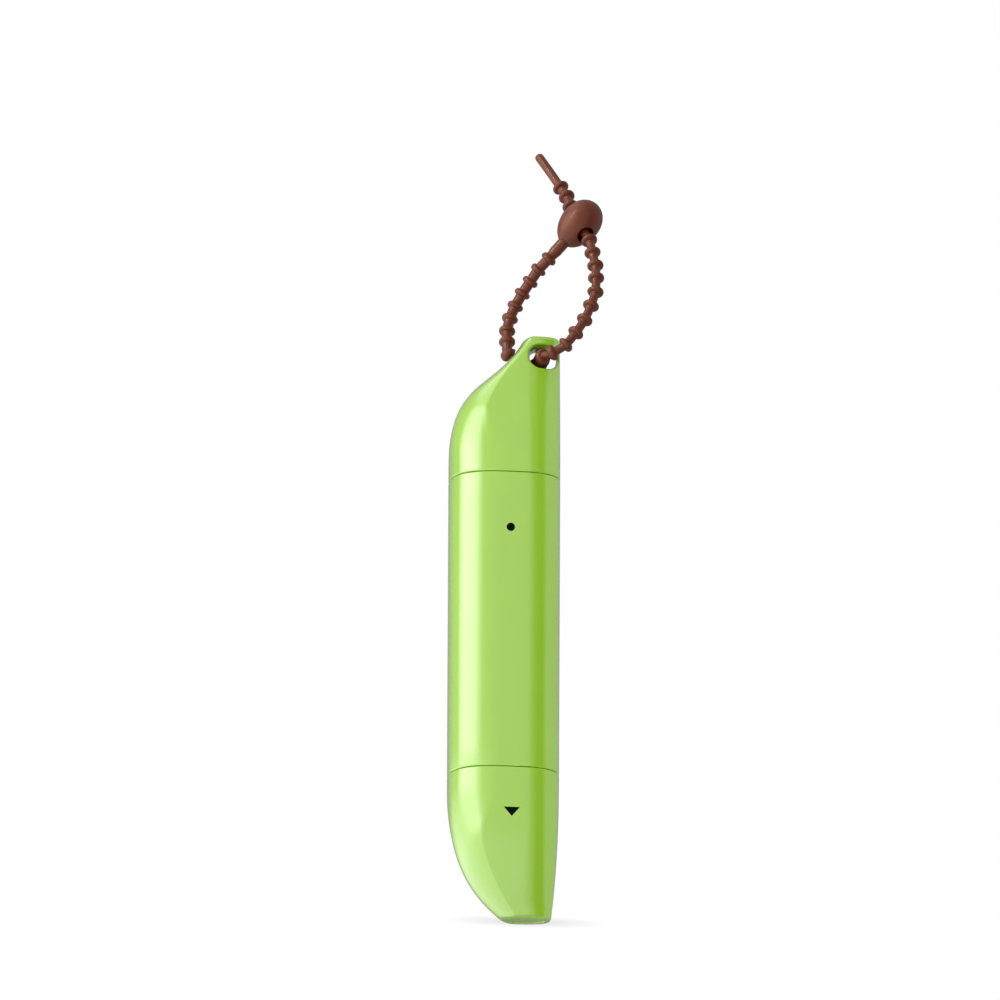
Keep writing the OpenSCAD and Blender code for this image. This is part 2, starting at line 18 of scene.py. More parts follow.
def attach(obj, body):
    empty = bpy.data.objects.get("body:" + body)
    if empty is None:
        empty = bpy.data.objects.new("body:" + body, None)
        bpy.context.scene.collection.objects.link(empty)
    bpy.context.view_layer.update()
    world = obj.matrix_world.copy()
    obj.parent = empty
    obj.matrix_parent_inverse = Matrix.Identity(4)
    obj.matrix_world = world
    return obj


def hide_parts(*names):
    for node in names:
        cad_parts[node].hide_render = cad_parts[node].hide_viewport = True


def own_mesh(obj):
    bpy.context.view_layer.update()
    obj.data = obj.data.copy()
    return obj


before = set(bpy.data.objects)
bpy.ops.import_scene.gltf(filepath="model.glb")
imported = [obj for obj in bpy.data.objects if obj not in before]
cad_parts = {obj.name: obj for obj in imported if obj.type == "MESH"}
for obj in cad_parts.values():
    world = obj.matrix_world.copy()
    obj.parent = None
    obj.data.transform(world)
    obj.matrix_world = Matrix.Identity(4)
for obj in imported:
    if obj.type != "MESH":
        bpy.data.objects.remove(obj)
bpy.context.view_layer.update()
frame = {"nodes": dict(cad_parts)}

MM = 0.001
TIE_LIT = "lit_by_tie_spot"
LOG = logging.getLogger("pen")
Point = Tuple[float, float, float]
Pair = Tuple[float, float]
Curve = Tuple[Pair, Pair, Pair, Pair]
Ring = List[Vector]
Socket = bpy.types.NodeSocket


# Small helpers


def mix(a: float, b: float, t: float) -> float:
    """Goes from a to b as t goes from 0 to 1."""
    return a + (b - a) * t


def ease(t: float) -> float:
    """Smooth step between 0 and 1."""
    c = min(1.0, max(0.0, t))
    return c * c * (3 - 2 * c)


def linear_rgb(code: str, alpha: float = 1.0) -> Tuple[float, float, float, float]:
    """Turns an sRGB hex colour to linear values.

    Args:
        code: six hex digits with a leading #.
        alpha: fourth value of the result.

    Returns:
        Linear red, green, blue and alpha.
    """
    parts = [int(code[i : i + 2], 16) / 255 for i in (1, 3, 5)]
    out = [c / 12.92 if c <= 0.04045 else ((c + 0.055) / 1.055) ** 2.4 for c in parts]
    return out[0], out[1], out[2], alpha


def deselect() -> None:
    """Clears the selection, because an operator acts on all that is selected."""
    if bpy.context.object is not None and bpy.context.object.mode != "OBJECT":
        bpy.ops.object.mode_set(mode="OBJECT")
    bpy.ops.object.select_all(action="DESELECT")


def select_only(obj: bpy.types.Object) -> None:
    """Makes one object the selected and active one.

    Args:
        obj: the object.
    """
    deselect()
    obj.select_set(True)
    bpy.context.view_layer.objects.active = obj


def edit_all(obj: bpy.types.Object) -> None:
    """Opens an object in edit mode with everything selected.

    Args:
        obj: the object.
    """
    select_only(obj)
    bpy.ops.object.mode_set(mode="EDIT")
    bpy.ops.mesh.select_all(action="SELECT")


def loft(name: str, rings: Sequence[Ring]) -> bpy.types.Object:
    """Extrudes a circle once per ring, fits it to the rings and closes both ends.

    Args:
        name: name of the new object.
        rings: closed rings of equal count, listed upwards, counter-clockwise from above.

    Returns:
        A closed mesh object at the origin.
    """
    count = len(rings[0])
    deselect()
    bpy.ops.mesh.primitive_circle_add(vertices=count, radius=1.0, location=(0, 0, 0))
    obj = bpy.context.object
    obj.name = obj.data.name = name
    edit_all(obj)
    bpy.ops.mesh.select_mode(type="VERT")
    bpy.ops.mesh.select_all(action="SELECT")
    bpy.ops.mesh.extrude_repeat(steps=len(rings) - 1, offset=(0, 0, 1.0), scale_offset=1.0)
    bpy.ops.object.mode_set(mode="OBJECT")
    for v in obj.data.vertices:
        slot = round(math.atan2(v.co.y, v.co.x) / math.tau * count) % count
        v.co = rings[min(len(rings) - 1, round(v.co.z))][slot]
    edit_all(obj)
    bpy.ops.mesh.fill_holes(sides=0)
    bpy.ops.mesh.normals_make_consistent(inside=False)
    bpy.ops.object.mode_set(mode="OBJECT")
    return obj


def modify(obj: bpy.types.Object, kind: str, **settings: object) -> None:
    """Adds a modifier with its settings and applies it.

    Args:
        obj: the object.
        kind: type of the modifier.
        **settings: its properties.
    """
    select_only(obj)
    step = obj.modifiers.new(kind.lower(), kind)
    for name, value in settings.items():
        setattr(step, name, value)
    bpy.ops.object.modifier_apply(modifier=step.name)


def combine(base: bpy.types.Object, tool: bpy.types.Object, operation: str) -> None:
    """Joins or cuts one solid with another, which is used up.

    Args:
        base: the solid that stays.
        tool: the solid that is added or taken away.
        operation: UNION or DIFFERENCE.
    """
    modify(base, "BOOLEAN", operation=operation, solver="EXACT", object=tool)
    bpy.data.objects.remove(tool)


def smooth(obj: bpy.types.Object, degrees: float = 32.0) -> bpy.types.Object:
    """Shades an object smooth, with its sharper edges kept.

    Args:
        obj: the object.
        degrees: angle above which an edge stays sharp.

    Returns:
        The same object.
    """
    select_only(obj)
    bpy.ops.object.shade_smooth_by_angle(angle=math.radians(degrees))
    return obj


def merge_doubles(obj: bpy.types.Object, gap_mm: float = 0.002) -> None:
    """Merges points that a cut leaves on top of each other and turns all faces outward.

    Args:
        obj: the object.
        gap_mm: distance below which two points are one.
    """
    edit_all(obj)
    bpy.ops.mesh.remove_doubles(threshold=gap_mm * MM)
    bpy.ops.mesh.normals_make_consistent(inside=False)
    bpy.ops.object.mode_set(mode="OBJECT")


def settle(obj: bpy.types.Object) -> bpy.types.Object:
    """Applies an object's place, so that it sits at the origin as a CAD node does."""
    select_only(obj)
    bpy.ops.object.transform_apply(location=True, rotation=True, scale=True)
    return obj


def link_new(name: str, data: bpy.types.ID) -> bpy.types.Object:
    """Puts a new object in the scene.

    Args:
        name: its name.
        data: its mesh, lamp or camera.

    Returns:
        The object.
    """
    obj = bpy.data.objects.new(name, data)
    bpy.context.scene.collection.objects.link(obj)
    return obj


# Form of the pen


@dataclass(frozen=True)
class Slant:
    """How a cap narrows from its seam to its end, as shares of the pen's half width and of its own length."""

    seam: float
    way: int
    length: float
    edge: Tuple[Curve, ...]
    soften_from: float
    crease_x: float
    crease_from: float
    crease_shift: float
    crease_bend: float
    end_half_d: float
    depth_bend: float
    right_in: float = 0.0
    right_bend: float = 1.0


@dataclass(frozen=True)
class PenForm:
    """Outline and slanted ends of the pen, in millimetres."""

    half_w: float = 13.0
    half_d: float = 12.0
    flat: float = 1.2
    squareness: float = 2.5
    crease_power: float = 1.6
    wall: float = 1.6
    lower_seam: float = 34.5
    upper_seam: float = 105.3
    steps: int = 26
    curve_steps: int = 40
    soften_over: float = 0.4
    least_side: float = 0.4
    least_flat: float = 0.8
    face_end: float = 0.995
    remover: Slant = Slant(
        seam=105.3, way=1, length=35.0,
        edge=(((-1.0, 0.17), (-1.0, 0.5), (-0.615, 0.62), (-0.317, 0.71)),
              ((-0.317, 0.7101), (-0.078, 0.782), (0.23, 0.891), (0.354, 1.0))),
        soften_from=0.11, crease_x=-0.408, crease_from=0.457, crease_shift=0.9, crease_bend=1.25,
        end_half_d=3.8, depth_bend=1.7)
    brush: Slant = Slant(
        seam=34.5, way=-1, length=34.5,
        edge=(((-1.0, 0.116), (-1.0, 0.696), (-0.369, 0.887), (-0.015, 1.0)),),
        soften_from=0.1, crease_x=-0.485, crease_from=0.406, crease_shift=0.708, crease_bend=1.8,
        end_half_d=4.2, depth_bend=2.4, right_in=0.123, right_bend=2.5)

    def quarter(self, flat: float, side: float, depth: float, power: float) -> List[Pair]:
        """Points from the side to the flat of one back quarter.

        Args:
            flat: x where the flat begins.
            side: x of the side.
            depth: y of the flat.
            power: exponent of the superellipse.

        Returns:
            Pairs of x and y.
        """
        out = []
        for i in range(self.steps + 1):
            a = math.pi / 2 * i / self.steps
            c, s = max(0.0, math.cos(a)), math.sin(a)
            out.append((mix(flat, side, c ** (2 / power)), depth * s ** (2 / power)))
        return out

    def ring(
        self, left: float, flat_left: float, flat_right: float, right: float,
        depth: float, left_power: float, z: float,
    ) -> Ring:
        """One closed ring of the outline at a height, the same front and back.

        Args:
            left: x of the left side.
            flat_left: x where the left quarter ends.
            flat_right: x where the right quarter ends.
            right: x of the right side.
            depth: half the depth.
            left_power: exponent of the left quarters.
            z: height.

        Returns:
            Points in metres, counter-clockwise from above.
        """
        back = self.quarter(flat_right, right, depth, self.squareness)
        back += reversed(self.quarter(flat_left, left, depth, left_power))
        both = back + [(x, -y) for x, y in reversed(back[1:-1])]
        return [Vector((x, y, z)) * MM for x, y in both]

    def body_ring(self, inset: float, z: float) -> Ring:
        """One ring of the straight barrel, drawn in by an inset."""
        return self.ring(
            -self.half_w + inset, -self.flat, self.flat, self.half_w - inset,
            self.half_d - inset, self.squareness, z,
        )

    def edge(self, slant: Slant) -> List[Pair]:
        """Points of a cap's slanted left edge.

        Args:
            slant: the cap's form, whose edge is made of Bezier curves.

        Returns:
            Distance from the seam and x, ordered by the distance.
        """
        out = []
        for curve in slant.edge:
            for i in range(self.curve_steps + 1):
                t = i / self.curve_steps
                w = ((1 - t) ** 3, 3 * (1 - t) ** 2 * t, 3 * (1 - t) * t * t, t ** 3)
                x, u = (sum(k * p[n] for k, p in zip(w, curve)) for n in (0, 1))
                out.append((u * slant.length, x * self.half_w))
        return sorted(out)

    @staticmethod
    def look_up(table: Sequence[Pair], u: float) -> float:
        """Value of a table at a distance, straight between its rows.

        Args:
            table: distances and values, ordered by the distance.
            u: the distance.

        Returns:
            The value there.
        """
        if u <= table[0][0]:
            return table[0][1]
        for (u0, x0), (u1, x1) in zip(table, table[1:]):
            if u <= u1:
                return mix(x0, x1, (u - u0) / max(1e-9, u1 - u0))
        return table[-1][1]

    def sides(self, slant: Slant, u: float, inset: float) -> Tuple[float, float, float, float, float, float]:
        """Outline of a cap at a distance from its seam.

        Args:
            slant: the cap's form.
            u: distance from the seam.
            inset: how far the outline is drawn in.

        Returns:
            Left x, the two ends of the flat, right x, half the depth and the left quarters' exponent.
        """
        t = max(0.0, u / slant.length)
        soft = ease((t - slant.soften_from) / self.soften_over)
        left = self.look_up(self.edge(slant), u) + inset
        run = max(0.0, t - slant.crease_from) / (1 - slant.crease_from)
        crease = self.half_w * (slant.crease_shift * run ** slant.crease_bend + slant.crease_x)
        flat_left = max(mix(-self.flat, crease, soft), left + self.least_side)
        flat_right = max(self.flat, flat_left + self.least_flat)
        right = self.half_w * (1 - slant.right_in * t ** slant.right_bend) - inset
        depth = mix(self.half_d, slant.end_half_d, t ** slant.depth_bend) - inset
        return left, flat_left, flat_right, right, depth, mix(self.squareness, self.crease_power, soft)

    def cap_ring(self, slant: Slant, u: float, inset: float) -> Ring:
        """One ring of a cap at a distance from its seam, drawn in by an inset."""
        return self.ring(*self.sides(slant, u, inset), slant.seam + slant.way * u)

    def tongue_face(self, x: float, z: float) -> float:
        """Half the remover cap's depth at a place on its front.

        Args:
            x: place across.
            z: height.

        Returns:
            Distance of the face from the middle plane.
        """
        left, flat_left, flat_right, right, depth, power = self.sides(self.remover, z - self.upper_seam, 0.0)
        share = 0.0
        if x > flat_right:
            share, power = (x - flat_right) / (right - flat_right), self.squareness
        elif x < flat_left:
            share = (x - flat_left) / (left - flat_left)
        return depth * (1 - min(self.face_end, share) ** power) ** (1 / power)


FORM = PenForm()


# Materials


class Tree:
    """A node tree that is put together node by node."""

    def __init__(self, tree: bpy.types.NodeTree) -> None:
        """Clears the node tree of a material or a world."""
        self.tree = tree
        self.tree.nodes.clear()

    def add(
        self, kind: str, inputs: Optional[Dict[Union[str, int], object]] = None, **settings: object
    ) -> bpy.types.Node:
        """Adds a node with its settings and links.

        Args:
            kind: type name of the node.
            inputs: values or sockets for its inputs, by name or index.
            **settings: properties of the node.

        Returns:
            The new node.
        """
        node = self.tree.nodes.new(kind)
        for name, value in settings.items():
            setattr(node, name, value)
        for name, value in (inputs or {}).items():
            self.plug(node.inputs[name], value)
        return node

    def plug(self, socket: Socket, value: object) -> None:
        """Links a socket to another or gives it a value.

        Args:
            socket: an input.
            value: an output to link it to, or its value.
        """
        if isinstance(value, Socket):
            self.tree.links.new(value, socket)
        else:
            socket.default_value = value

    def maths(self, operation: str, *values: object) -> Socket:
        """Result of a Math node on sockets or numbers."""
        return self.add("ShaderNodeMath", dict(enumerate(values)), operation=operation).outputs[0]

    def vector(self, operation: str, *values: object) -> Socket:
        """Result of a Vector Math node on sockets or triples."""
        out = self.add("ShaderNodeVectorMath", dict(enumerate(values)), operation=operation).outputs
        return out["Value" if operation == "LENGTH" else "Vector"]

    def step(self, value: Socket, low: float, high: float) -> Socket:
        """Smooth step from 0 at the low value to 1 at the high value."""
        inputs = {"Value": value, "From Min": low, "From Max": high}
        return self.add("ShaderNodeMapRange", inputs, interpolation_type="SMOOTHSTEP").outputs["Result"]

    def window(self, value: Socket, span: Pair, edge: float) -> Socket:
        """Mask that is 1 inside a span and fades to 0 over an edge at each end."""
        rise, fall = (self.step(value, end - edge / 2, end + edge / 2) for end in span)
        return self.maths("SUBTRACT", rise, fall)


class Shader(Tree):
    """A material with one Principled shader."""

    def __init__(self, name: str) -> None:
        """Starts a material with its output and shader.

        Args:
            name: name of the real material.
        """
        self.material = bpy.data.materials.new(name)
        self.material.use_nodes = True
        super().__init__(self.material.node_tree)
        self.body = self.add("ShaderNodeBsdfPrincipled")
        self.add("ShaderNodeOutputMaterial", {"Surface": self.body.outputs["BSDF"]})
        self.place = self.add("ShaderNodeTexCoord").outputs["Object"]

    def set(self, **values: object) -> None:
        """Sets or links the Principled shader's sockets, with _ for each space in a name."""
        for name, value in values.items():
            self.plug(self.body.inputs[name.replace("_", " ")], value)

    def noise(self, size_mm: float, detail: float = 2.0) -> Socket:
        """Noise whose lumps are about that many millimetres across."""
        inputs = {"Vector": self.place, "Scale": 1 / (size_mm * MM), "Detail": detail}
        return self.add("ShaderNodeTexNoise", inputs).outputs["Fac"]

    def blend(self, factor: Socket, first: object, second: object) -> Socket:
        """Colour between two colours by a factor."""
        return self.add("ShaderNodeMix", {0: factor, 6: first, 7: second}, data_type="RGBA").outputs[2]

    def range(self, value: Socket, low: float, high: float) -> Socket:
        """Maps 0 to 1 onto a range."""
        inputs = {"Value": value, "To Min": low, "To Max": high}
        return self.add("ShaderNodeMapRange", inputs).outputs["Result"]

    def bump(self, height: Socket, depth_mm: float, strength: float = 1.0) -> None:
        """Adds relief of a depth in millimetres to the shader."""
        inputs = {"Height": height, "Distance": depth_mm * MM, "Strength": strength}
        self.set(Normal=self.add("ShaderNodeBump", inputs).outputs["Normal"])


class Mark(Enum):
    """Printed marks on a green moulding."""

    NONE = 0
    DOT = 1
    ARROW = 2


@dataclass(frozen=True)
class Finish:
    """A material in two tones, with an uneven shine, a fine grain and light that goes into it.

    Tone, haze and grain are noise, given by the size in millimetres and the detail, and the grain by its
    depth too.
    """

    name: str
    colour: str
    shade: str
    tone: Pair
    haze: Pair
    roughness: Pair
    grain: Optional[Point] = None
    ior: float = 1.5
    metal: float = 0.0
    glow: float = 0.0
    glow_mm: float = 1.0
    glow_rgb: Point = (1.0, 1.0, 1.0)

    def start(self) -> Tuple[Shader, Socket]:
        """Makes the shader with all that the finishes share.

        Returns:
            The shader and its colour, which a finish may still cover.
        """
        s = Shader(self.name)
        colour = s.blend(s.noise(*self.tone), linear_rgb(self.colour), linear_rgb(self.shade))
        s.set(Base_Color=colour, Roughness=s.range(s.noise(*self.haze), *self.roughness))
        s.set(IOR=self.ior, Metallic=self.metal, Subsurface_Weight=self.glow)
        s.set(Subsurface_Radius=self.glow_rgb, Subsurface_Scale=self.glow_mm * MM)
        if self.grain is not None:
            size_mm, detail, depth_mm = self.grain
            s.bump(s.noise(size_mm, detail), depth_mm)
        return s, colour

    def make(self) -> bpy.types.Material:
        """Builds the material."""
        return self.start()[0].material


@dataclass(frozen=True)
class GreenPolypropylene(Finish):
    """Gloss-moulded polypropylene, dyed through: an even green with a clear, faintly rippled gloss.

    The polished mould gives a sharp shine like a coat over a softer one, and light that goes a little way
    into the plastic makes thin rims glow. A mark is pad-printed in matt black ink.
    """

    name: str = "green_moulded_polypropylene"
    colour: str = "#9acb2c"
    shade: str = "#94c629"
    tone: Pair = (9.0, 2.0)
    haze: Pair = (2.0, 4.0)
    roughness: Pair = (0.18, 0.23)
    grain: Point = (5.0, 1.0, 0.004)
    glow: float = 0.2
    glow_mm: float = 2.0
    glow_rgb: Point = (0.6, 1.0, 0.1)
    shine: float = 0.75
    coat: float = 1.0
    coat_roughness: float = 0.1
    coat_ior: float = 1.55
    mark: Mark = Mark.NONE
    ink: str = "#060705"
    ink_shine: float = 0.04
    dot_place: Pair = (-0.1, 91.9)
    dot_r: float = 1.0
    arrow_place: Pair = (0.5, 22.6)
    arrow_h: float = 2.15
    arrow_half_w: float = 1.95

    def ink_mask(self, s: Shader) -> Socket:
        """Finds where the mark lies on the front.

        Args:
            s: the material's shader.

        Returns:
            Factor that is 1 on the ink.
        """
        axes = s.add("ShaderNodeSeparateXYZ", {"Vector": s.place}).outputs
        spot = self.dot_place if self.mark is Mark.DOT else self.arrow_place
        x = s.maths("SUBTRACT", axes[0], spot[0] * MM)
        z = s.maths("SUBTRACT", axes[2], spot[1] * MM)
        front = s.maths("LESS_THAN", axes[1], 0.0)
        if self.mark is Mark.DOT:
            reach = s.maths("SQRT", s.maths("ADD", s.maths("MULTIPLY", x, x), s.maths("MULTIPLY", z, z)))
            inside = s.maths("LESS_THAN", reach, self.dot_r * MM)
        else:
            width = s.maths("MULTIPLY", z, self.arrow_half_w / self.arrow_h)
            inside = s.maths("MULTIPLY", s.maths("LESS_THAN", s.maths("ABSOLUTE", x), width),
                             s.maths("LESS_THAN", z, self.arrow_h * MM))
        return s.maths("MULTIPLY", inside, front)

    def make(self) -> bpy.types.Material:
        """Builds the material, with its coat and its mark."""
        s, colour = self.start()
        coat, shine = self.coat, self.shine
        if self.mark is not Mark.NONE:
            mask = self.ink_mask(s)
            s.set(Base_Color=s.blend(mask, colour, linear_rgb(self.ink)))
            coat, shine = s.range(mask, self.coat, 0.0), s.range(mask, self.shine, self.ink_shine)
        s.set(Specular_IOR_Level=shine, Coat_Weight=coat)
        s.set(Coat_Roughness=self.coat_roughness, Coat_IOR=self.coat_ior)
        return s.material


@dataclass(frozen=True)
class BrownSilicone(Finish):
    """Moulded silicone rubber: satin, with a fine dry bloom that softens its shine."""

    name: str = "brown_moulded_silicone"
    colour: str = "#5b2717"
    shade: str = "#4a1c10"
    tone: Pair = (3.0, 3.0)
    haze: Pair = (1.2, 3.0)
    roughness: Pair = (0.36, 0.44)
    grain: Point = (0.6, 2.0, 0.003)
    ior: float = 1.45
    bloom: str = "#6d3a2a"
    bloom_size: Pair = (0.5, 4.0)
    bloom_cover: Pair = (-0.05, 0.15)
    shine: float = 0.5
    tint: str = "#ffd8c0"

    def make(self) -> bpy.types.Material:
        """Builds the material, with its bloom."""
        s, colour = self.start()
        dust = s.range(s.noise(*self.bloom_size), *self.bloom_cover)
        s.set(Base_Color=s.blend(dust, colour, linear_rgb(self.bloom)))
        s.set(Specular_IOR_Level=self.shine, Specular_Tint=linear_rgb(self.tint))
        return s.material


@dataclass(frozen=True)
class PaleMoulding(Finish):
    """Unpainted inner mouldings: natural polypropylene or acetal, waxy and slightly see-through."""

    tone: Pair = (6.0, 3.0)
    haze: Pair = (1.5, 3.0)
    roughness: Pair = (0.33, 0.44)
    grain: Point = (0.6, 2.0, 0.004)
    ior: float = 1.49
    glow: float = 0.15
    glow_mm: float = 1.2
    glow_rgb: Point = (1.0, 1.0, 0.9)


@dataclass(frozen=True)
class SealRubber(Finish):
    """Moulded nitrile rubber: near black and matt."""

    name: str = "black_nitrile_rubber"
    colour: str = "#26282a"
    shade: str = "#303335"
    tone: Pair = (1.0, 3.0)
    haze: Pair = (0.8, 3.0)
    roughness: Pair = (0.55, 0.7)
    grain: Point = (0.3, 2.0, 0.005)
    ior: float = 1.52


@dataclass(frozen=True)
class SpringSteel(Finish):
    """Drawn stainless spring wire: bright, with fine marks of the drawing."""

    name: str = "drawn_stainless_steel"
    colour: str = "#c9cacc"
    shade: str = "#b3b4b7"
    tone: Pair = (0.4, 4.0)
    haze: Pair = (0.2, 4.0)
    roughness: Pair = (0.2, 0.34)
    grain: Point = (0.1, 2.0, 0.002)
    metal: float = 1.0


@dataclass(frozen=True)
class NylonFilament(Finish):
    """Extruded nylon filaments: clear white, with a soft shine along each strand."""

    name: str = "white_nylon_filament"
    colour: str = "#f6f8f4"
    shade: str = "#e4ebe4"
    tone: Pair = (0.8, 2.0)
    haze: Pair = (0.5, 2.0)
    roughness: Pair = (0.28, 0.4)
    ior: float = 1.53
    glow: float = 0.2
    glow_mm: float = 0.4


@dataclass(frozen=True)
class PorousFelt:
    """Bonded polyester felt, damp with liquid: off-white, with fibres that run along the nib."""

    name: str = "bonded_polyester_felt"
    colour: str = "#f2efe2"
    shade: str = "#d9d4c0"
    fibre_mm: float = 0.12
    fibre_run: float = 0.12
    fibre_depth: float = 0.03
    fibre_detail: float = 3.0
    fibre_mix: float = 0.6
    roughness: float = 0.85
    fuzz: float = 0.3
    fuzz_roughness: float = 0.6

    def make(self) -> bpy.types.Material:
        """Builds the material. The fibres are drawn coarser than the real ones, so that they show."""
        s = Shader(self.name)
        inputs = {"Vector": s.place, "Scale": (1.0, 1.0, self.fibre_run)}
        along = s.add("ShaderNodeMapping", inputs).outputs[0]
        inputs = {"Vector": along, "Scale": 1 / (self.fibre_mm * MM)}
        inputs.update({"Detail": self.fibre_detail, "Roughness": self.fibre_mix})
        fibre = s.add("ShaderNodeTexNoise", inputs).outputs["Fac"]
        s.set(Base_Color=s.blend(fibre, linear_rgb(self.shade), linear_rgb(self.colour)))
        s.set(Roughness=self.roughness, Sheen_Weight=self.fuzz, Sheen_Roughness=self.fuzz_roughness)
        s.bump(fibre, self.fibre_depth)
        return s.material


def dress(obj: bpy.types.Object, material: bpy.types.Material) -> bpy.types.Object:
    """Gives an object one material all over.

    Args:
        obj: a piece or a CAD node.
        material: its finish.

    Returns:
        The same object.
    """
    obj.data.materials.clear()
    obj.data.materials.append(material)
    for face in obj.data.polygons:
        face.material_index = 0
    return obj


# Studio


@dataclass(frozen=True)
class Patch:
    """A lit or dark part of the tent, by bearing and height in degrees."""

    azimuth: Pair
    elevation: Pair
    level: float
    side_edge: float = 20.0
    end_edge: float = 20.0


@dataclass(frozen=True)
class SoftLamp:
    """A large rectangular lamp that reflections don't see: bearing and height in degrees, power in watts."""

    name: str
    azimuth: float
    elevation: float
    power: float
    size: Pair = (900.0, 1100.0)
    distance: float = 900.0
    aim_height: float = 80.0


@dataclass
class Studio:
    """Camera, lamps, tent, backdrop and floor."""

    azimuth: float = -8.0
    elevation: float = -13.2
    roll: float = 0.26
    lens: float = 1000.0
    sensor: float = 36.0
    frame_mm: float = 235.0
    target: Point = (-1.0, 0.0, 101.1)
    clip: Pair = (0.05, 50.0)
    ambient: float = 0.82
    tent_r: float = 1500.0
    tent_facets: Tuple[int, int] = (48, 24)
    tent_level: float = 0.7
    tent_right: float = 0.05
    tent_back: float = 0.38
    patches: Tuple[Patch, ...] = (
        Patch((-150.0, -12.0), (-80.0, 2.0), 2.0, 30.0, 24.0),
        Patch((-14.0, 24.0), (-80.0, -12.0), 1.45, 20.0, 24.0),
        Patch((-160.0, -10.0), (46.0, 80.0), 1.7, 40.0, 16.0),
        Patch((-105.0, -42.0), (0.0, 37.0), 5.0, 36.0, 34.0),
        Patch((33.0, 67.0), (-80.0, 80.0), 0.0, 20.0, 20.0),
    )
    lamps: Tuple[SoftLamp, ...] = (
        SoftLamp("tall_softbox_left", -55.0, 22.0, 4.0),
        SoftLamp("fill_left_rear", -110.0, 10.0, 3.0),
        SoftLamp("fill_right_rear", 115.0, 10.0, 2.0),
    )
    floor_r: float = 700.0
    floor_sides: int = 96
    floor_drop: float = 0.1
    floor_fade: Pair = (160.0, 600.0)
    floor_level: float = 0.93
    # Painted shadow round the foot, seen through the floor from below: its middle, reach and darkness.
    shade_middle: float = 5.6
    shade_reach: Pair = (19.0, 7.0)
    shade_dark: float = 0.27
    spot_power: float = 76.0
    spot_r: float = 90.0
    spot_angle: float = 4.8
    spot_blend: float = 0.4
    spot_place: Pair = (-62.0, 38.0)
    spot_target: Point = (13.0, 4.0, 166.0)
    spot_distance: float = 900.0

    def direction(self, azimuth: float, elevation: float) -> Vector:
        """Unit vector from the object towards a bearing and height in degrees."""
        a, e = math.radians(azimuth), math.radians(elevation)
        return Vector((math.sin(a) * math.cos(e), -math.cos(a) * math.cos(e), math.sin(e)))

    def camera(self) -> None:
        """Makes the long-lens camera that looks slightly up at the pen."""
        data = bpy.data.cameras.new("camera")
        data.lens, data.sensor_width = self.lens, self.sensor
        distance = self.frame_mm * MM / 2 / (self.sensor / 2 / self.lens)
        data.clip_start, data.clip_end = self.clip
        cam = link_new("camera", data)
        back = self.direction(self.azimuth, self.elevation)
        cam.location = Vector(self.target) * MM + back * distance
        turn = (-back).to_track_quat("-Z", "Y") @ Quaternion((0, 0, 1), math.radians(self.roll))
        cam.rotation_euler = turn.to_euler()
        bpy.context.scene.camera = cam

    def aim(self, lamp: bpy.types.Object, place: Pair, target: Point, distance: float) -> None:
        """Sets a lamp up so that it faces a point.

        Args:
            lamp: the lamp.
            place: its bearing and height in degrees.
            target: the point, in millimetres.
            distance: how far off it stands, in millimetres.
        """
        way = self.direction(*place)
        lamp.location = (Vector(target) + way * distance) * MM
        lamp.rotation_euler = (-way).to_track_quat("-Z", "Y").to_euler()

    def lamp(self, soft: SoftLamp) -> None:
        """Adds a soft lamp that faces the pen.

        Args:
            soft: the lamp.
        """
        data = bpy.data.lights.new(soft.name, "AREA")
        data.shape, data.energy = "RECTANGLE", soft.power
        data.size, data.size_y = soft.size[0] * MM, soft.size[1] * MM
        lamp = link_new(soft.name, data)
        lamp.visible_glossy = False
        self.aim(lamp, (soft.azimuth, soft.elevation), (0.0, 0.0, soft.aim_height), soft.distance)

    def spot(self) -> None:
        """Aims a small spot from the upper left at the tie, which is too dark for the soft light alone."""
        data = bpy.data.lights.new("tie_spot", "SPOT")
        data.energy, data.shadow_soft_size = self.spot_power, self.spot_r * MM
        data.spot_size, data.spot_blend = math.radians(self.spot_angle), self.spot_blend
        spot = link_new("tie_spot", data)
        spot.light_linking.receiver_collection = bpy.data.collections.new(TIE_LIT)
        self.aim(spot, self.spot_place, self.spot_target, self.spot_distance)

    def world(self) -> None:
        """White surroundings for the camera and even soft light for the pen."""
        world = bpy.data.worlds.new("surroundings")
        bpy.context.scene.world = world
        world.use_nodes = True
        s = Tree(world.node_tree)
        rays = s.add("ShaderNodeLightPath").outputs
        seen = s.maths("MAXIMUM", rays["Is Camera Ray"], rays["Is Transmission Ray"])
        level = s.maths("MAXIMUM", seen, s.maths("MULTIPLY", rays["Is Diffuse Ray"], self.ambient))
        back = s.add("ShaderNodeBackground", {"Color": (1, 1, 1, 1), "Strength": level})
        s.add("ShaderNodeOutputWorld", {"Surface": back.outputs[0]})

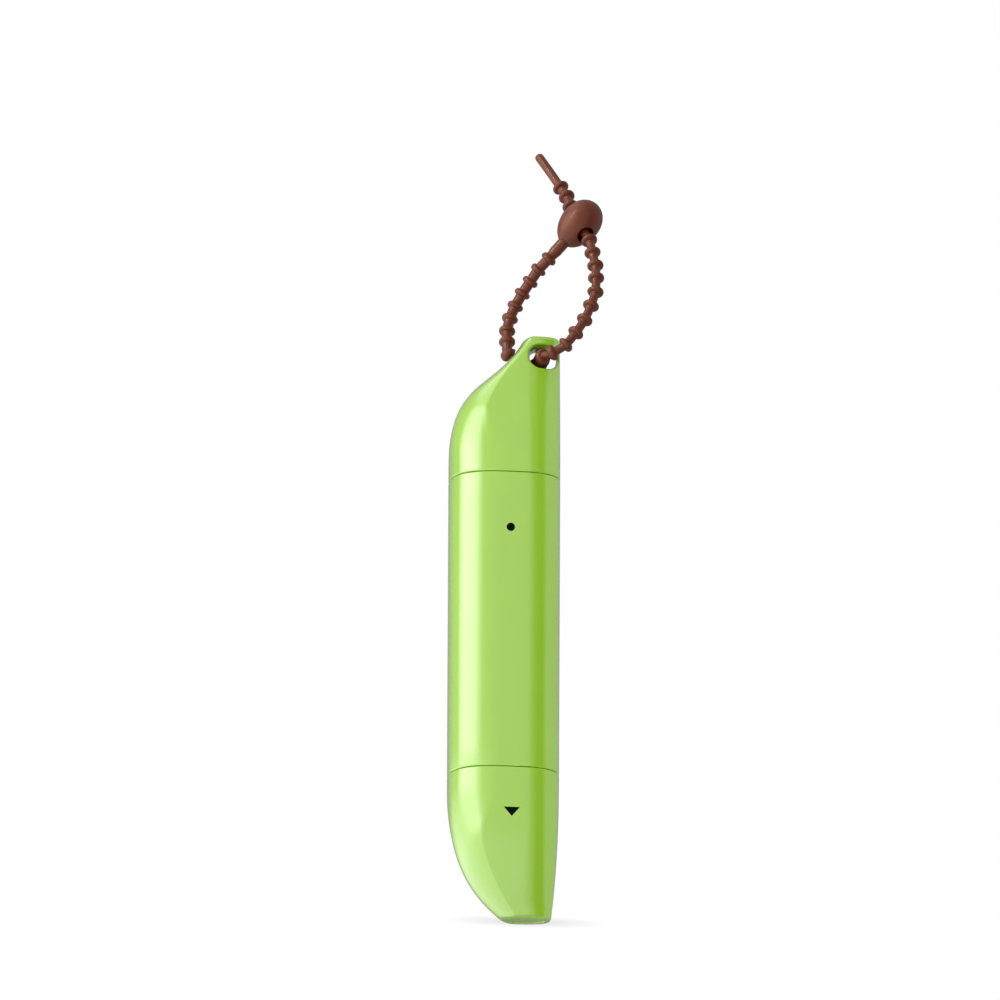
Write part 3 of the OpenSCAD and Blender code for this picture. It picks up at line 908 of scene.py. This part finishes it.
    def tent(self) -> None:
        """Puts the pen in a round tent that only reflections see, lit and darkened in patches."""
        deselect()
        bpy.ops.mesh.primitive_uv_sphere_add(
            segments=self.tent_facets[0], ring_count=self.tent_facets[1], radius=self.tent_r * MM,
            location=(0, 0, self.target[2] * MM))
        tent = bpy.context.object
        tent.name = "tent"
        material = bpy.data.materials.new("tent_cloth")
        material.use_nodes = True
        s = Tree(material.node_tree)
        way = s.vector("NORMALIZE", s.add("ShaderNodeTexCoord").outputs["Object"])
        way = s.add("ShaderNodeSeparateXYZ", {"Vector": way}).outputs
        azimuth = s.maths("DEGREES", s.maths("ARCTAN2", way[0], s.maths("MULTIPLY", way[1], -1.0)))
        elevation = s.maths("DEGREES", s.maths("ARCSINE", way[2]))
        level = s.maths("SUBTRACT", self.tent_level, s.maths("MULTIPLY", way[0], self.tent_right))
        level = s.maths("SUBTRACT", level, s.maths("MULTIPLY", way[1], self.tent_back))
        for patch in self.patches:
            mask = s.maths("MULTIPLY", s.window(azimuth, patch.azimuth, patch.side_edge),
                           s.window(elevation, patch.elevation, patch.end_edge))
            inputs = {0: mask, 2: level, 3: patch.level}
            level = s.add("ShaderNodeMix", inputs, data_type="FLOAT").outputs[0]
        light = s.add("ShaderNodeEmission", {"Color": (1, 1, 1, 1), "Strength": level})
        s.add("ShaderNodeOutputMaterial", {"Surface": light.outputs[0]})
        tent.data.materials.append(material)
        for ray in ("camera", "diffuse", "transmission", "volume_scatter", "shadow"):
            setattr(tent, "visible_" + ray, False)

    def painted_foot_shadow(self, s: Shader, behind: Socket) -> Socket:
        """Painted shadow round the foot, an oval that is seen from below.

        Args:
            s: the floor's shader.
            behind: 1 on the floor's lower side.

        Returns:
            How much light the clear floor lets through.
        """
        middle = (self.shade_middle * MM, 0.0, 0.0)
        reach = (self.shade_reach[0] * MM, self.shade_reach[1] * MM, 1.0)
        away = s.vector("LENGTH", s.vector("DIVIDE", s.vector("SUBTRACT", s.place, middle), reach))
        # Painted shadow: a fixed grey oval that darkens the clear floor's lower side round the foot.
        dark = s.maths("MULTIPLY", s.maths("MAXIMUM", s.maths("SUBTRACT", 1.0, away), 0.0), self.shade_dark)
        return s.maths("SUBTRACT", 1.0, s.maths("MULTIPLY", dark, behind))

    def floor(self) -> None:
        """Lays a pale floor that keeps the shadow, fades out and is clear from below.

        The camera looks up at the foot through the floor, so there only a painted shadow round the foot
        shows: a fixed grey oval, not a cast shadow.
        """
        deselect()
        bpy.ops.mesh.primitive_circle_add(
            vertices=self.floor_sides, radius=self.floor_r * MM, fill_type="NGON",
            location=(0, 0, -self.floor_drop * MM))
        floor = bpy.context.object
        floor.name = "floor"
        s = Shader("pale_floor")
        s.tree.nodes.remove(s.body)
        out = next(n for n in s.tree.nodes if n.type == "OUTPUT_MATERIAL")
        grey = self.floor_level
        paper = s.add("ShaderNodeBsdfDiffuse", {"Color": (grey, grey, grey, 1.0)})
        fade = s.step(s.vector("LENGTH", s.place), self.floor_fade[0] * MM, self.floor_fade[1] * MM)
        behind = s.add("ShaderNodeNewGeometry").outputs["Backfacing"]
        clear = s.maths("MAXIMUM", fade, behind)
        glass = s.add("ShaderNodeBsdfTransparent", {"Color": self.painted_foot_shadow(s, behind)})
        mixed = s.add("ShaderNodeMixShader", {0: clear, 1: paper.outputs[0], 2: glass.outputs[0]})
        s.tree.links.new(mixed.outputs[0], out.inputs["Surface"])
        floor.data.materials.append(s.material)
        for ray in ("diffuse", "glossy", "transmission", "volume_scatter", "shadow"):
            setattr(floor, "visible_" + ray, False)

    def build(self) -> None:
        """Sets up everything round the pen."""
        self.camera()
        self.world()
        self.tent()
        for soft in self.lamps:
            self.lamp(soft)
        self.spot()
        self.floor()
        bpy.context.scene.view_settings.view_transform = "Standard"


# Beaded silicone tie


@dataclass
class BeadTie:
    """Silicone tie: a plain tail, a row of beads, a plain neck and an egg-shaped lock bead."""

    core_d: float = 2.1
    thick_core_d: float = 2.5
    bead_d: float = 3.9
    bead_half_w: float = 0.74
    neck_d: float = 2.9
    lock_len: float = 12.6
    lock_d: float = 9.4
    lock_swell: float = 0.08
    lock_gap: float = 0.1
    lock_facets: Tuple[int, int] = (64, 40)
    lock_from: int = 4
    lock_to: int = 7
    tail_bore: float = 14.0
    neck_bore: float = 6.0
    soften: float = 0.5
    soften_times: int = 5
    sides: int = 28
    first_bead: int = 2
    thicken_from: float = 17.0
    thicken_over: float = 6.0
    tip: Tuple[Pair, ...] = ((0.0, 0.3), (0.015, 0.62), (0.05, 0.85), (0.1, 0.96), (0.17, 1.0))
    tail_from: float = 0.35
    tail_step: float = 0.2
    tail_count: int = 7
    bead_steps: Tuple[float, ...] = (0.15, 0.42, 0.66, 0.82, 0.93, 1.0, 1.1, 1.25)
    bead_round: Pair = (2.3, 0.55)
    bead_foot: Pair = (0.07, 0.25)
    neck_steps: Point = (0.38, 0.7, 0.98)
    neck_end: float = 0.9
    normal: Point = (0.45, -0.85, 0.28)
    lock_middle: Point = (18.7, 7.7, 170.5)
    voxel: float = 0.14
    path_steps: int = 8

    def __post_init__(self) -> None:
        """Keeps the route, from the tail's tip through the lock bead and the lanyard hole to the neck."""
        self.route = [Vector(p) for p in (
            (10.8, 21.6, 190.1), (13.2, 18.8, 185.6), (15.4, 16, 181.2), (16.5, 13.8, 178.5),
            (17.1, 11.6, 175.6), (18, 9.1, 172.4), (19.1, 6.5, 169.1), (20.5, 3.8, 165.6),
            (21, 1.8, 162.2), (21.4, -0.2, 158.6), (21.3, -2.2, 155.1), (20.9, -4, 151.3),
            (19.6, -5.7, 147.5), (17.9, -7.2, 143.7), (15.6, -8.6, 140.1), (13.1, -9.1, 137),
            (10.3, -8.3, 135.2), (8.3, -5.3, 134.8), (8.5, -1.8, 134.9), (8.5, 1.9, 134.9),
            (8, 5.4, 134.9), (5.6, 8.6, 136), (2.2, 9.4, 138.6), (2, 10.6, 141.9), (2.2, 12, 144.9),
            (3, 13, 148.2), (4.3, 13.3, 151.3), (5.9, 12.8, 154.3), (7.6, 11.8, 157),
            (9.4, 10.6, 159.7), (11.6, 9.3, 162.1), (15.6, 8.2, 166.6))]
        self.last_bead = len(self.route) - 2

    def point(self, s: float) -> Vector:
        """Place on the centreline, by a spline through the route's points."""
        last = len(self.route) - 1
        i = min(last - 1, max(0, math.floor(s)))
        t = s - i
        a, b, c, d = (self.route[min(last, max(0, i + k))] for k in (-1, 0, 1, 2))
        return b + 0.5 * t * (c - a + t * (2 * a - 5 * b + 4 * c - d + t * (3 * (b - c) + d - a)))

    def heading(self, s: float) -> Vector:
        """Unit direction of the centreline."""
        margin, half = 0.03, 0.02
        s = min(len(self.route) - 1 - margin, max(margin, s))
        return (self.point(s + half) - self.point(s - half)).normalized()

    def core(self, s: float) -> float:
        """Radius between the beads."""
        return mix(self.core_d, self.thick_core_d, ease((s - self.thicken_from) / self.thicken_over)) / 2

    def bead(self, k: int) -> List[Pair]:
        """Steps over one bead.

        Args:
            k: the bead's point of the route.

        Returns:
            Places along the route with the radius at each.
        """
        pitch = (self.route[k + 1] - self.route[k - 1]).length / 2
        bulge, sharpness = self.bead_round
        foot_h, foot_w = self.bead_foot
        out = []
        for d in (*(-d for d in reversed(self.bead_steps)), *self.bead_steps):
            lift = max(0.0, 1 - abs(d) ** bulge) ** sharpness
            foot = foot_h * max(0.0, 1 - abs(abs(d) - 1) / foot_w)
            r = mix(self.core(k), self.bead_d / 2, min(1.0, lift)) + foot
            out.append((k + d * self.bead_half_w / pitch, min(self.bead_d / 2, r)))
        return out

    def stations(self) -> List[Pair]:
        """Steps over the tail, the beads and the neck.

        Returns:
            Places along the route with the radius at each, in millimetres.
        """
        out = [(s, self.core(0) * share) for s, share in self.tip]
        out += [(self.tail_from + self.tail_step * i, self.core(0)) for i in range(self.tail_count)]
        for k in range(self.first_bead, self.last_bead + 1):
            out += self.bead(k)
        neck_r = self.neck_d / 2
        out += [(self.last_bead + step, neck_r) for step in self.neck_steps]
        return out + [(len(self.route) - 1, neck_r * self.neck_end)]

    def strap(self) -> bpy.types.Object:
        """Models the tail, beads and neck as one smooth moulding.

        Returns:
            The moulding.
        """
        rings = []
        for s, r in self.stations():
            t = self.heading(s)
            n = Vector(self.normal).cross(t).normalized()
            b = t.cross(n)
            turn = [math.tau * j / self.sides for j in range(self.sides)]
            rings.append([(self.point(s) + r * (n * math.cos(a) + b * math.sin(a))) * MM for a in turn])
        return smooth(loft("tie_strap", rings), 60.0)

    def lock(self) -> bpy.types.Object:
        """Models the lock bead: a sphere drawn out to an egg, bored for the tail and the neck.

        Returns:
            The lock bead.
        """
        middle = Vector(self.lock_middle)
        axis = (middle - self.route[-1]).normalized()
        deselect()
        segments, rings = self.lock_facets
        bpy.ops.mesh.primitive_uv_sphere_add(segments=segments, ring_count=rings, radius=1.0)
        egg = bpy.context.object
        egg.name = egg.data.name = "tie_lock"
        for v in egg.data.vertices:
            r = self.lock_d / 2 * (1 + self.lock_swell * v.co.z)
            v.co = Vector((v.co.x * r, v.co.y * r, v.co.z * self.lock_len / 2))
        place = Matrix.Translation(middle) @ axis.to_track_quat("Z", "Y").to_matrix().to_4x4()
        egg.data.transform(Matrix.Scale(MM, 4) @ place)
        tail_way = (self.route[self.lock_from] - self.route[self.lock_to]).normalized()
        self.bore(egg, middle, tail_way, self.bead_d / 2 + self.lock_gap, self.tail_bore)
        neck_middle = self.route[-1] - axis * self.neck_bore / 2
        self.bore(egg, neck_middle, axis, self.neck_d / 2 + self.lock_gap, self.neck_bore)
        modify(egg, "REMESH", mode="VOXEL", voxel_size=self.voxel * MM)
        modify(egg, "SMOOTH", factor=self.soften, iterations=self.soften_times)
        return smooth(egg, 80.0)

    def bore(self, body: bpy.types.Object, middle: Vector, way: Vector, r: float, length: float) -> None:
        """Cuts a round hole.

        Args:
            body: the solid that is cut.
            middle: middle of the hole, in millimetres.
            way: its direction.
            r: its radius in millimetres.
            length: its length in millimetres.
        """
        deselect()
        turn = way.to_track_quat("Z", "Y").to_euler()
        bpy.ops.mesh.primitive_cylinder_add(
            vertices=48, radius=r * MM, depth=length * MM, location=middle * MM, rotation=turn)
        combine(body, settle(bpy.context.object), "DIFFERENCE")

    def build(self) -> None:
        finish = BrownSilicone().make()
        strap, lock = dress(self.strap(), finish), dress(self.lock(), finish)
        for piece, node in ((strap, "strap"), (lock, "strap_lock")):
            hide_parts(node)
            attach(piece, "tie")
            bpy.data.collections[TIE_LIT].objects.link(piece)


# Green mouldings


def diagonal_ribs(body: bpy.types.Object, inner_r: float, outer_r: float, low: float, high: float,
                  width: float = 1.2) -> None:
    """Adds the four ribs inside a moulding that centre what it holds.

    Args:
        body: the moulding.
        inner_r: radius at the ribs' inner ends.
        outer_r: radius inside the wall at which they end.
        low: height of their foot.
        high: height of their top.
        width: thickness of a rib.
    """
    for turn in range(4):
        a = math.pi / 4 + turn * math.pi / 2
        middle = (inner_r + outer_r) / 2
        deselect()
        bpy.ops.mesh.primitive_cube_add(
            size=1.0, rotation=(0, 0, a),
            location=(middle * math.cos(a) * MM, middle * math.sin(a) * MM, (low + high) / 2 * MM),
            scale=((outer_r - inner_r) * MM, width * MM, (high - low) * MM))
        combine(body, settle(bpy.context.object), "UNION")


def rounded_edge(radius: float, count: int) -> List[Pair]:
    """Rings over the rounded edge at an end.

    Args:
        radius: radius of the edge.
        count: steps over it.

    Returns:
        Distance from the end and inset of each ring, from the end inwards.
    """
    turns = (math.pi / 2 * i / count for i in range(count, -1, -1))
    return [(radius * (1 - math.sin(a)), radius * (1 - math.cos(a))) for a in turns]


@dataclass
class Barrel:
    """Barrel shell: a straight rounded-square tube between the two seams."""

    edge_r: float = 0.34
    edge_steps: int = 4
    side_steps: int = 12
    rib_in: float = 9.25
    rib_out: float = 12.5
    plug_h: float = 6.0

    def build(self) -> None:
        """Models, dresses and mounts the barrel."""
        low, high = FORM.lower_seam, FORM.upper_seam
        foot = [(low + u, inset) for u, inset in rounded_edge(self.edge_r, self.edge_steps)]
        stations = foot + [(mix(low, high, i / self.side_steps), 0.0) for i in range(1, self.side_steps)]
        stations += [(low + high - z, inset) for z, inset in reversed(foot)]
        shell = loft("barrel", [FORM.body_ring(inset, z) for z, inset in stations])
        bore = loft("bore", [FORM.body_ring(FORM.wall, low - 1), FORM.body_ring(FORM.wall, high + 1)])
        combine(shell, bore, "DIFFERENCE")
        diagonal_ribs(shell, self.rib_in, self.rib_out, low + self.plug_h, high - self.plug_h)
        smooth(shell)
        dress(shell, GreenPolypropylene(name="green_polypropylene_barrel", mark=Mark.DOT).make())
        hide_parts("barrel_shell")
        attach(shell, "barrel")
        LOG.info("barrel: %d faces", len(shell.data.polygons))


def cap_stations(length: float, edge_r: float, gap: float = 0.1, mouth_r: float = 0.3,
                 count: int = 72, edge_count: int = 6) -> List[Pair]:
    """Distances from the seam and insets of a cap's outer rings.

    Args:
        length: length of the cap.
        edge_r: radius of its far edge.
        gap: gap at the seam.
        mouth_r: radius of the edge at the mouth.
        count: rings along the side.
        edge_count: rings over each rounded edge.

    Returns:
        Pairs of distance and inset.
    """
    mouth = [(gap + u, inset) for u, inset in rounded_edge(mouth_r, edge_count)]
    side = [(mix(gap + mouth_r, length - edge_r, i / count), 0.0) for i in range(1, count + 1)]
    end = [(length - u, inset) for u, inset in rounded_edge(edge_r, edge_count)[-2::-1]]
    return mouth + side + end


def hollow_stations(end: float, mouth: float = 2.0, count: int = 24) -> List[float]:
    """Distances from the seam of the rings of a cap's hollow, the first of which lies outside its mouth.

    Args:
        end: distance of the last ring.
        mouth: distance of the second ring.
        count: steps from there to the last one.

    Returns:
        Distances from the seam.
    """
    return [-1.0] + [mix(mouth, end, i / count) for i in range(count + 1)]


@dataclass
class RemoverCap:
    """Cap over the remover nib: a slanted shell that narrows to a tongue with a lanyard hole."""

    edge_r: float = 1.2
    hole_x: float = 8.8
    hole_z: float = 135.0
    hole_r: float = 2.5
    hole_straight: float = 1.8
    hole_floor: float = 1.8
    hole_sides: int = 56
    rim: Tuple[Pair, ...] = (
        (0.0, 0.86), (0.07, 0.72), (0.2, 0.61), (0.45, 0.51),
        (0.9, 0.38), (1.5, 0.24), (2.0, 0.1), (2.4, 0.0),
    )
    rim_over: float = 0.4
    thin_side: float = 0.4
    rib_in: float = 9.61
    rib_out: float = 12.5
    rib_gap: float = 2.0
    rib_h: float = 5.0

    def hole(self) -> bpy.types.Object:
        """Cutter for the lanyard hole: a slot that flares to a rounded rim on both curved faces.

        Its ends are flat and lie outside the pen, as a chord across the curved face would leave a skin.

        Returns:
            The cutter.
        """
        outward = [(-FORM.half_d, self.rim[0][1] + self.rim_over)] + list(self.rim)
        levels = [(-1, *step) for step in outward] + [(1, *step) for step in reversed(outward)]
        rings = []
        for side, depth, grow in levels:
            ring = []
            for a in (math.tau * j / self.hole_sides for j in range(self.hole_sides)):
                across = math.cos(a)
                straight = math.copysign(self.hole_straight / 2, across) if abs(across) > 1e-6 else 0.0
                r = self.hole_r + grow * (1 - self.thin_side * max(0.0, across))
                x, z = self.hole_x + straight + r * across, self.hole_z + r * math.sin(a)
                y = min(FORM.half_d, FORM.tongue_face(x, z) - depth)
                ring.append(Vector((x, side * y, z)) * MM)
            rings.append(list(reversed(ring)))
        return loft("hole", rings)

    def build(self) -> None:
        """Models, dresses and mounts the cap."""
        form = FORM.remover
        outer = [FORM.cap_ring(form, u, inset) for u, inset in cap_stations(form.length, self.edge_r)]
        cap = loft("remover_cap", outer)
        end = self.hole_z - form.seam - self.hole_r - self.hole_floor
        hollow = loft("hollow", [FORM.cap_ring(form, u, FORM.wall) for u in hollow_stations(end)])
        combine(cap, hollow, "DIFFERENCE")
        combine(cap, self.hole(), "DIFFERENCE")
        low = form.seam + self.rib_gap
        diagonal_ribs(cap, self.rib_in, self.rib_out, low, low + self.rib_h)
        merge_doubles(cap)
        smooth(cap, 34.0)
        # The large faces lead the shading beside the cuts, where slivers would streak it.
        modify(cap, "WEIGHTED_NORMAL", keep_sharp=True)
        dress(cap, GreenPolypropylene(name="green_polypropylene_remover_cap").make())
        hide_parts("remover_cap_shell")
        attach(cap, "remover_cap")
        LOG.info("remover cap: %d faces", len(cap.data.polygons))


@dataclass
class BrushCap:
    """Cap over the brush: a slanted shell that ends in a small flat foot."""

    edge_r: float = 0.7
    foot_t: float = 2.4
    ring_w: float = 0.7
    recess: float = 0.25
    recess_slope: float = 0.18
    rib_in: float = 10.16
    rib_out: float = 12.5
    rib_gap: float = 2.0
    rib_h: float = 5.0

    def build(self) -> None:
        """Models, dresses and mounts the cap."""
        form = FORM.brush
        stations = reversed(cap_stations(form.length, self.edge_r))
        outer = [FORM.cap_ring(form, u, inset) for u, inset in stations]
        cap = loft("brush_cap", self.foot_panel() + outer)
        depths = reversed(hollow_stations(form.length - self.foot_t))
        combine(cap, loft("hollow", [FORM.cap_ring(form, u, FORM.wall) for u in depths]), "DIFFERENCE")
        high = form.seam - self.rib_gap
        diagonal_ribs(cap, self.rib_in, self.rib_out, high - self.rib_h, high)
        smooth(cap, 34.0)
        dress(cap, GreenPolypropylene(name="green_polypropylene_brush_cap", mark=Mark.ARROW).make())
        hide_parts("brush_cap_shell")
        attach(cap, "brush_cap")
        LOG.info("brush cap: %d faces", len(cap.data.polygons))

    def foot_panel(self) -> List[Ring]:
        """Rings of the shallow panel that is sunk into the foot.

        Returns:
            Two rings, from the panel's edge outwards.
        """
        inset = self.edge_r + self.ring_w
        edge = FORM.cap_ring(FORM.brush, FORM.brush.length, inset)
        sunk = FORM.cap_ring(FORM.brush, FORM.brush.length, inset + self.recess_slope)
        return [[p + Vector((0, 0, self.recess * MM)) for p in sunk], edge]


# Brush, nib and spring


def round_edges(obj: bpy.types.Object, radius: float = 0.2) -> None:
    """Rounds the sharp edges of an object.

    Args:
        obj: the object.
        radius: radius of the edges in millimetres.
    """
    modify(obj, "BEVEL", width=radius * MM, segments=3, limit_method="ANGLE")
    smooth(obj)


@dataclass
class Brush:
    """Tufts of nylon strands on the brush head."""

    backing_top: float = 27.0
    backing_t: float = 0.6
    backing_r: float = 7.5
    backing_sides: int = 96
    bristle_len: float = 13.4
    tuft_pitch: float = 2.1
    tuft_rings: int = 3
    strand_r: float = 0.085
    strands: int = 26
    sunk: float = 0.05
    tuft_r: float = 0.82
    turn: float = math.radians(137.508)
    splay: float = 0.35
    lean: float = 0.012
    uneven: float = 0.12
    uneven_steps: Pair = (7.3, 2.1)
    profile: Tuple[Pair, ...] = ((-0.5, 1.0), (-0.44, 0.96), (-0.05, 0.75), (-0.01, 0.35))

    def strand(self) -> bpy.types.Mesh:
        """Models one strand with a rounded tip, as long as 1 and as thick as 1.

        Returns:
            The strand, which hangs down from the origin.
        """
        deselect()
        bpy.ops.mesh.primitive_circle_add(vertices=5, radius=1.0, location=(0, 0, 0))
        obj = bpy.context.object
        edit_all(obj)
        for rise, scale in self.profile:
            bpy.ops.mesh.extrude_region_move(TRANSFORM_OT_translate={"value": (0, 0, rise)})
            bpy.ops.transform.resize(value=(scale, scale, 1.0))
        bpy.ops.mesh.edge_face_add()
        bpy.ops.mesh.select_all(action="SELECT")
        bpy.ops.mesh.normals_make_consistent(inside=False)
        bpy.ops.object.mode_set(mode="OBJECT")
        mesh = obj.data
        bpy.data.objects.remove(obj)
        return mesh

    def places(self) -> List[Vector]:
        """Middles of the tufts, in rings.

        Returns:
            The middles, in millimetres.
        """
        out = [Vector((0, 0, 0))]
        for k in range(1, self.tuft_rings + 1):
            for i in range(6 * k):
                a = math.radians(60 * i / k + 12 * k)
                out.append(Vector((math.cos(a), math.sin(a), 0)) * self.tuft_pitch * k)
        return out

    def tufts(self) -> bpy.types.Object:
        """Copies the strand over every tuft, each splayed a little.

        Returns:
            The tufts.
        """
        strand, bm = self.strand(), bmesh.new()
        foot = Vector((0, 0, self.backing_top - self.backing_t + self.sunk))
        for n, tuft in enumerate(self.places()):
            for i in range(self.strands):
                r, a = self.tuft_r * math.sqrt((i + 0.5) / self.strands), i * self.turn + n
                away = Vector((math.cos(a), math.sin(a), 0)) * r
                lean = away * self.splay + tuft * self.lean
                wave = self.uneven_steps[0] * i + self.uneven_steps[1] * n
                length = self.bristle_len - self.uneven * abs(math.sin(wave))
                start = len(bm.verts)
                bm.from_mesh(strand)
                bm.verts.ensure_lookup_table()
                for v in bm.verts[start:]:
                    t, thick = -v.co.z, Vector((v.co.x, v.co.y, 0)) * self.strand_r
                    v.co = (thick + tuft + away + lean * t * t + foot - Vector((0, 0, t * length))) * MM
        mesh = bpy.data.meshes.new("bristle_tufts")
        bm.to_mesh(mesh)
        bm.free()
        return smooth(link_new("bristle_tufts", mesh), 70.0)

    def build(self) -> None:
        """Models, dresses and mounts the tufts and their backing."""
        tufts = self.tufts()
        deselect()
        bpy.ops.mesh.primitive_cylinder_add(
            vertices=self.backing_sides, radius=self.backing_r * MM, depth=self.backing_t * MM,
            location=(0, 0, (self.backing_top - self.backing_t / 2) * MM))
        backing = settle(bpy.context.object)
        backing.name = backing.data.name = "bristle_backing"
        round_edges(backing)
        dress(tufts, NylonFilament().make())
        dress(backing, PaleMoulding("white_polypropylene_backing", "#f3f4f0", "#e9ebe4").make())
        for piece in (tufts, backing):
            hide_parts("bristles")
            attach(piece, "barrel")
        LOG.info("brush: %d tufts of %d strands", len(self.places()), self.strands)


@dataclass
class FeltNib:
    """Felt nib with a rounded chisel tip."""

    r: float = 2.9
    foot: float = 109.4
    tip: float = 120.5
    chisel_angle: float = 28.0
    chisel_lift: float = 0.45
    foot_share: float = 0.93
    foot_h: float = 0.15
    side_from: float = 0.4
    side_count: int = 10
    dome_share: float = 0.9
    dome_power: float = 0.7
    dome_count: int = 12
    sides: int = 64

    def build(self) -> None:
        """Turns the nib from rings, cuts its chisel face and softens its edges."""
        dome = self.dome_share * self.r
        start, end = self.foot + self.side_from, self.tip - dome
        heights = [(self.foot, self.foot_share), (self.foot + self.foot_h, 1.0)]
        heights += [(mix(start, end, i / self.side_count), 1.0) for i in range(self.side_count + 1)]
        for i in range(1, self.dome_count):
            a = math.pi / 2 * i / self.dome_count
            heights.append((end + dome * math.sin(a), math.cos(a) ** self.dome_power))
        turns = [math.tau * j / self.sides for j in range(self.sides)]
        rings = [[Vector((self.r * share * math.cos(a), self.r * share * math.sin(a), z)) * MM for a in turns]
                 for z, share in heights]
        nib = loft("felt_nib", rings)
        edit_all(nib)
        tilt = math.radians(self.chisel_angle)
        bpy.ops.mesh.bisect(plane_co=Vector((-self.r, 0, self.tip + self.chisel_lift)) * MM,
                            plane_no=(math.sin(tilt), 0, math.cos(tilt)), use_fill=True, clear_outer=True)
        bpy.ops.object.mode_set(mode="OBJECT")
        round_edges(nib)
        dress(nib, PorousFelt().make())
        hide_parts("nib")
        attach(nib, "applicator")
        LOG.info("nib: %d faces", len(nib.data.polygons))


@dataclass
class ValveSpring:
    """Compression spring with closed ends between the chamber's floor and the plunger."""

    wire_r: float = 0.3
    coil_r: float = 2.4
    low: float = 94.4
    high: float = 101.2
    turns: float = 5.0
    gap: float = 0.02
    press: float = 1.5
    steps: int = 200
    sides: int = 12

    def build(self) -> None:
        """Sweeps the wire along its coils."""
        low, high = self.low + self.wire_r + self.gap, self.high - self.wire_r - self.gap
        rings = []
        for i in range(self.steps + 1):
            a = math.tau * self.turns * i / self.steps
            z = mix(low, high, i / self.steps)
            out = Vector((math.cos(a), math.sin(a), 0))
            rings.append([(out * (self.coil_r + self.wire_r * math.cos(b))
                           + Vector((0, 0, z - self.wire_r * math.sin(b)))) * MM
                          for b in (math.tau * j / self.sides for j in range(self.sides))])
        spring = smooth(loft("valve_spring_wire", rings), 60.0)
        dress(spring, SpringSteel().make())
        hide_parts("valve_spring")
        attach(spring, "barrel")
        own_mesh(spring)
        LOG.info("spring: %d coils", int(self.turns))


# Carried-over CAD nodes


@dataclass
class InnerPieces:
    """The CAD nodes inside the pen, which keep their shape and get their finish."""

    nodes: Dict[str, bpy.types.Object]

    def build(self) -> None:
        """Dresses each inner node."""
        finishes = (
            (PaleMoulding("natural_polypropylene", "#e9efe6", "#dde6da", roughness=(0.31, 0.42), glow=0.25),
             ("reservoir_bottle", "reservoir_plug", "remover_cap_liner", "brush_cap_liner")),
            (PaleMoulding("white_collar_polypropylene", "#eef1ec", "#e6eae3", roughness=(0.25, 0.36)),
             ("remover_collar", "brush_collar")),
            (PaleMoulding("white_polypropylene", "#f4f5f2", "#eceeea", roughness=(0.27, 0.38)),
             ("nib_guide", "brush_head")),
            (PaleMoulding("grey_acetal", "#dfe4e1", "#d3dad6", roughness=(0.23, 0.34), glow=0.08),
             ("valve_body", "valve_stem")),
            (SealRubber(), ("plug_seal", "bottle_seal", "valve_seat")),
        )
        for finish, names in finishes:
            material = finish.make()
            for name in names:
                dress(self.nodes[name], material)
        LOG.info("inner pieces: %d nodes", sum(len(names) for _, names in finishes))


def main() -> None:
    """Builds the studio and every piece in order."""
    logging.basicConfig(level=logging.INFO, format="%(name)s: %(message)s")
    Studio().build()
    BeadTie().build()
    Barrel().build()
    RemoverCap().build()
    BrushCap().build()
    Brush().build()
    FeltNib().build()
    ValveSpring().build()
    InnerPieces(frame["nodes"]).build()


if __name__ == "__main__":
    main()
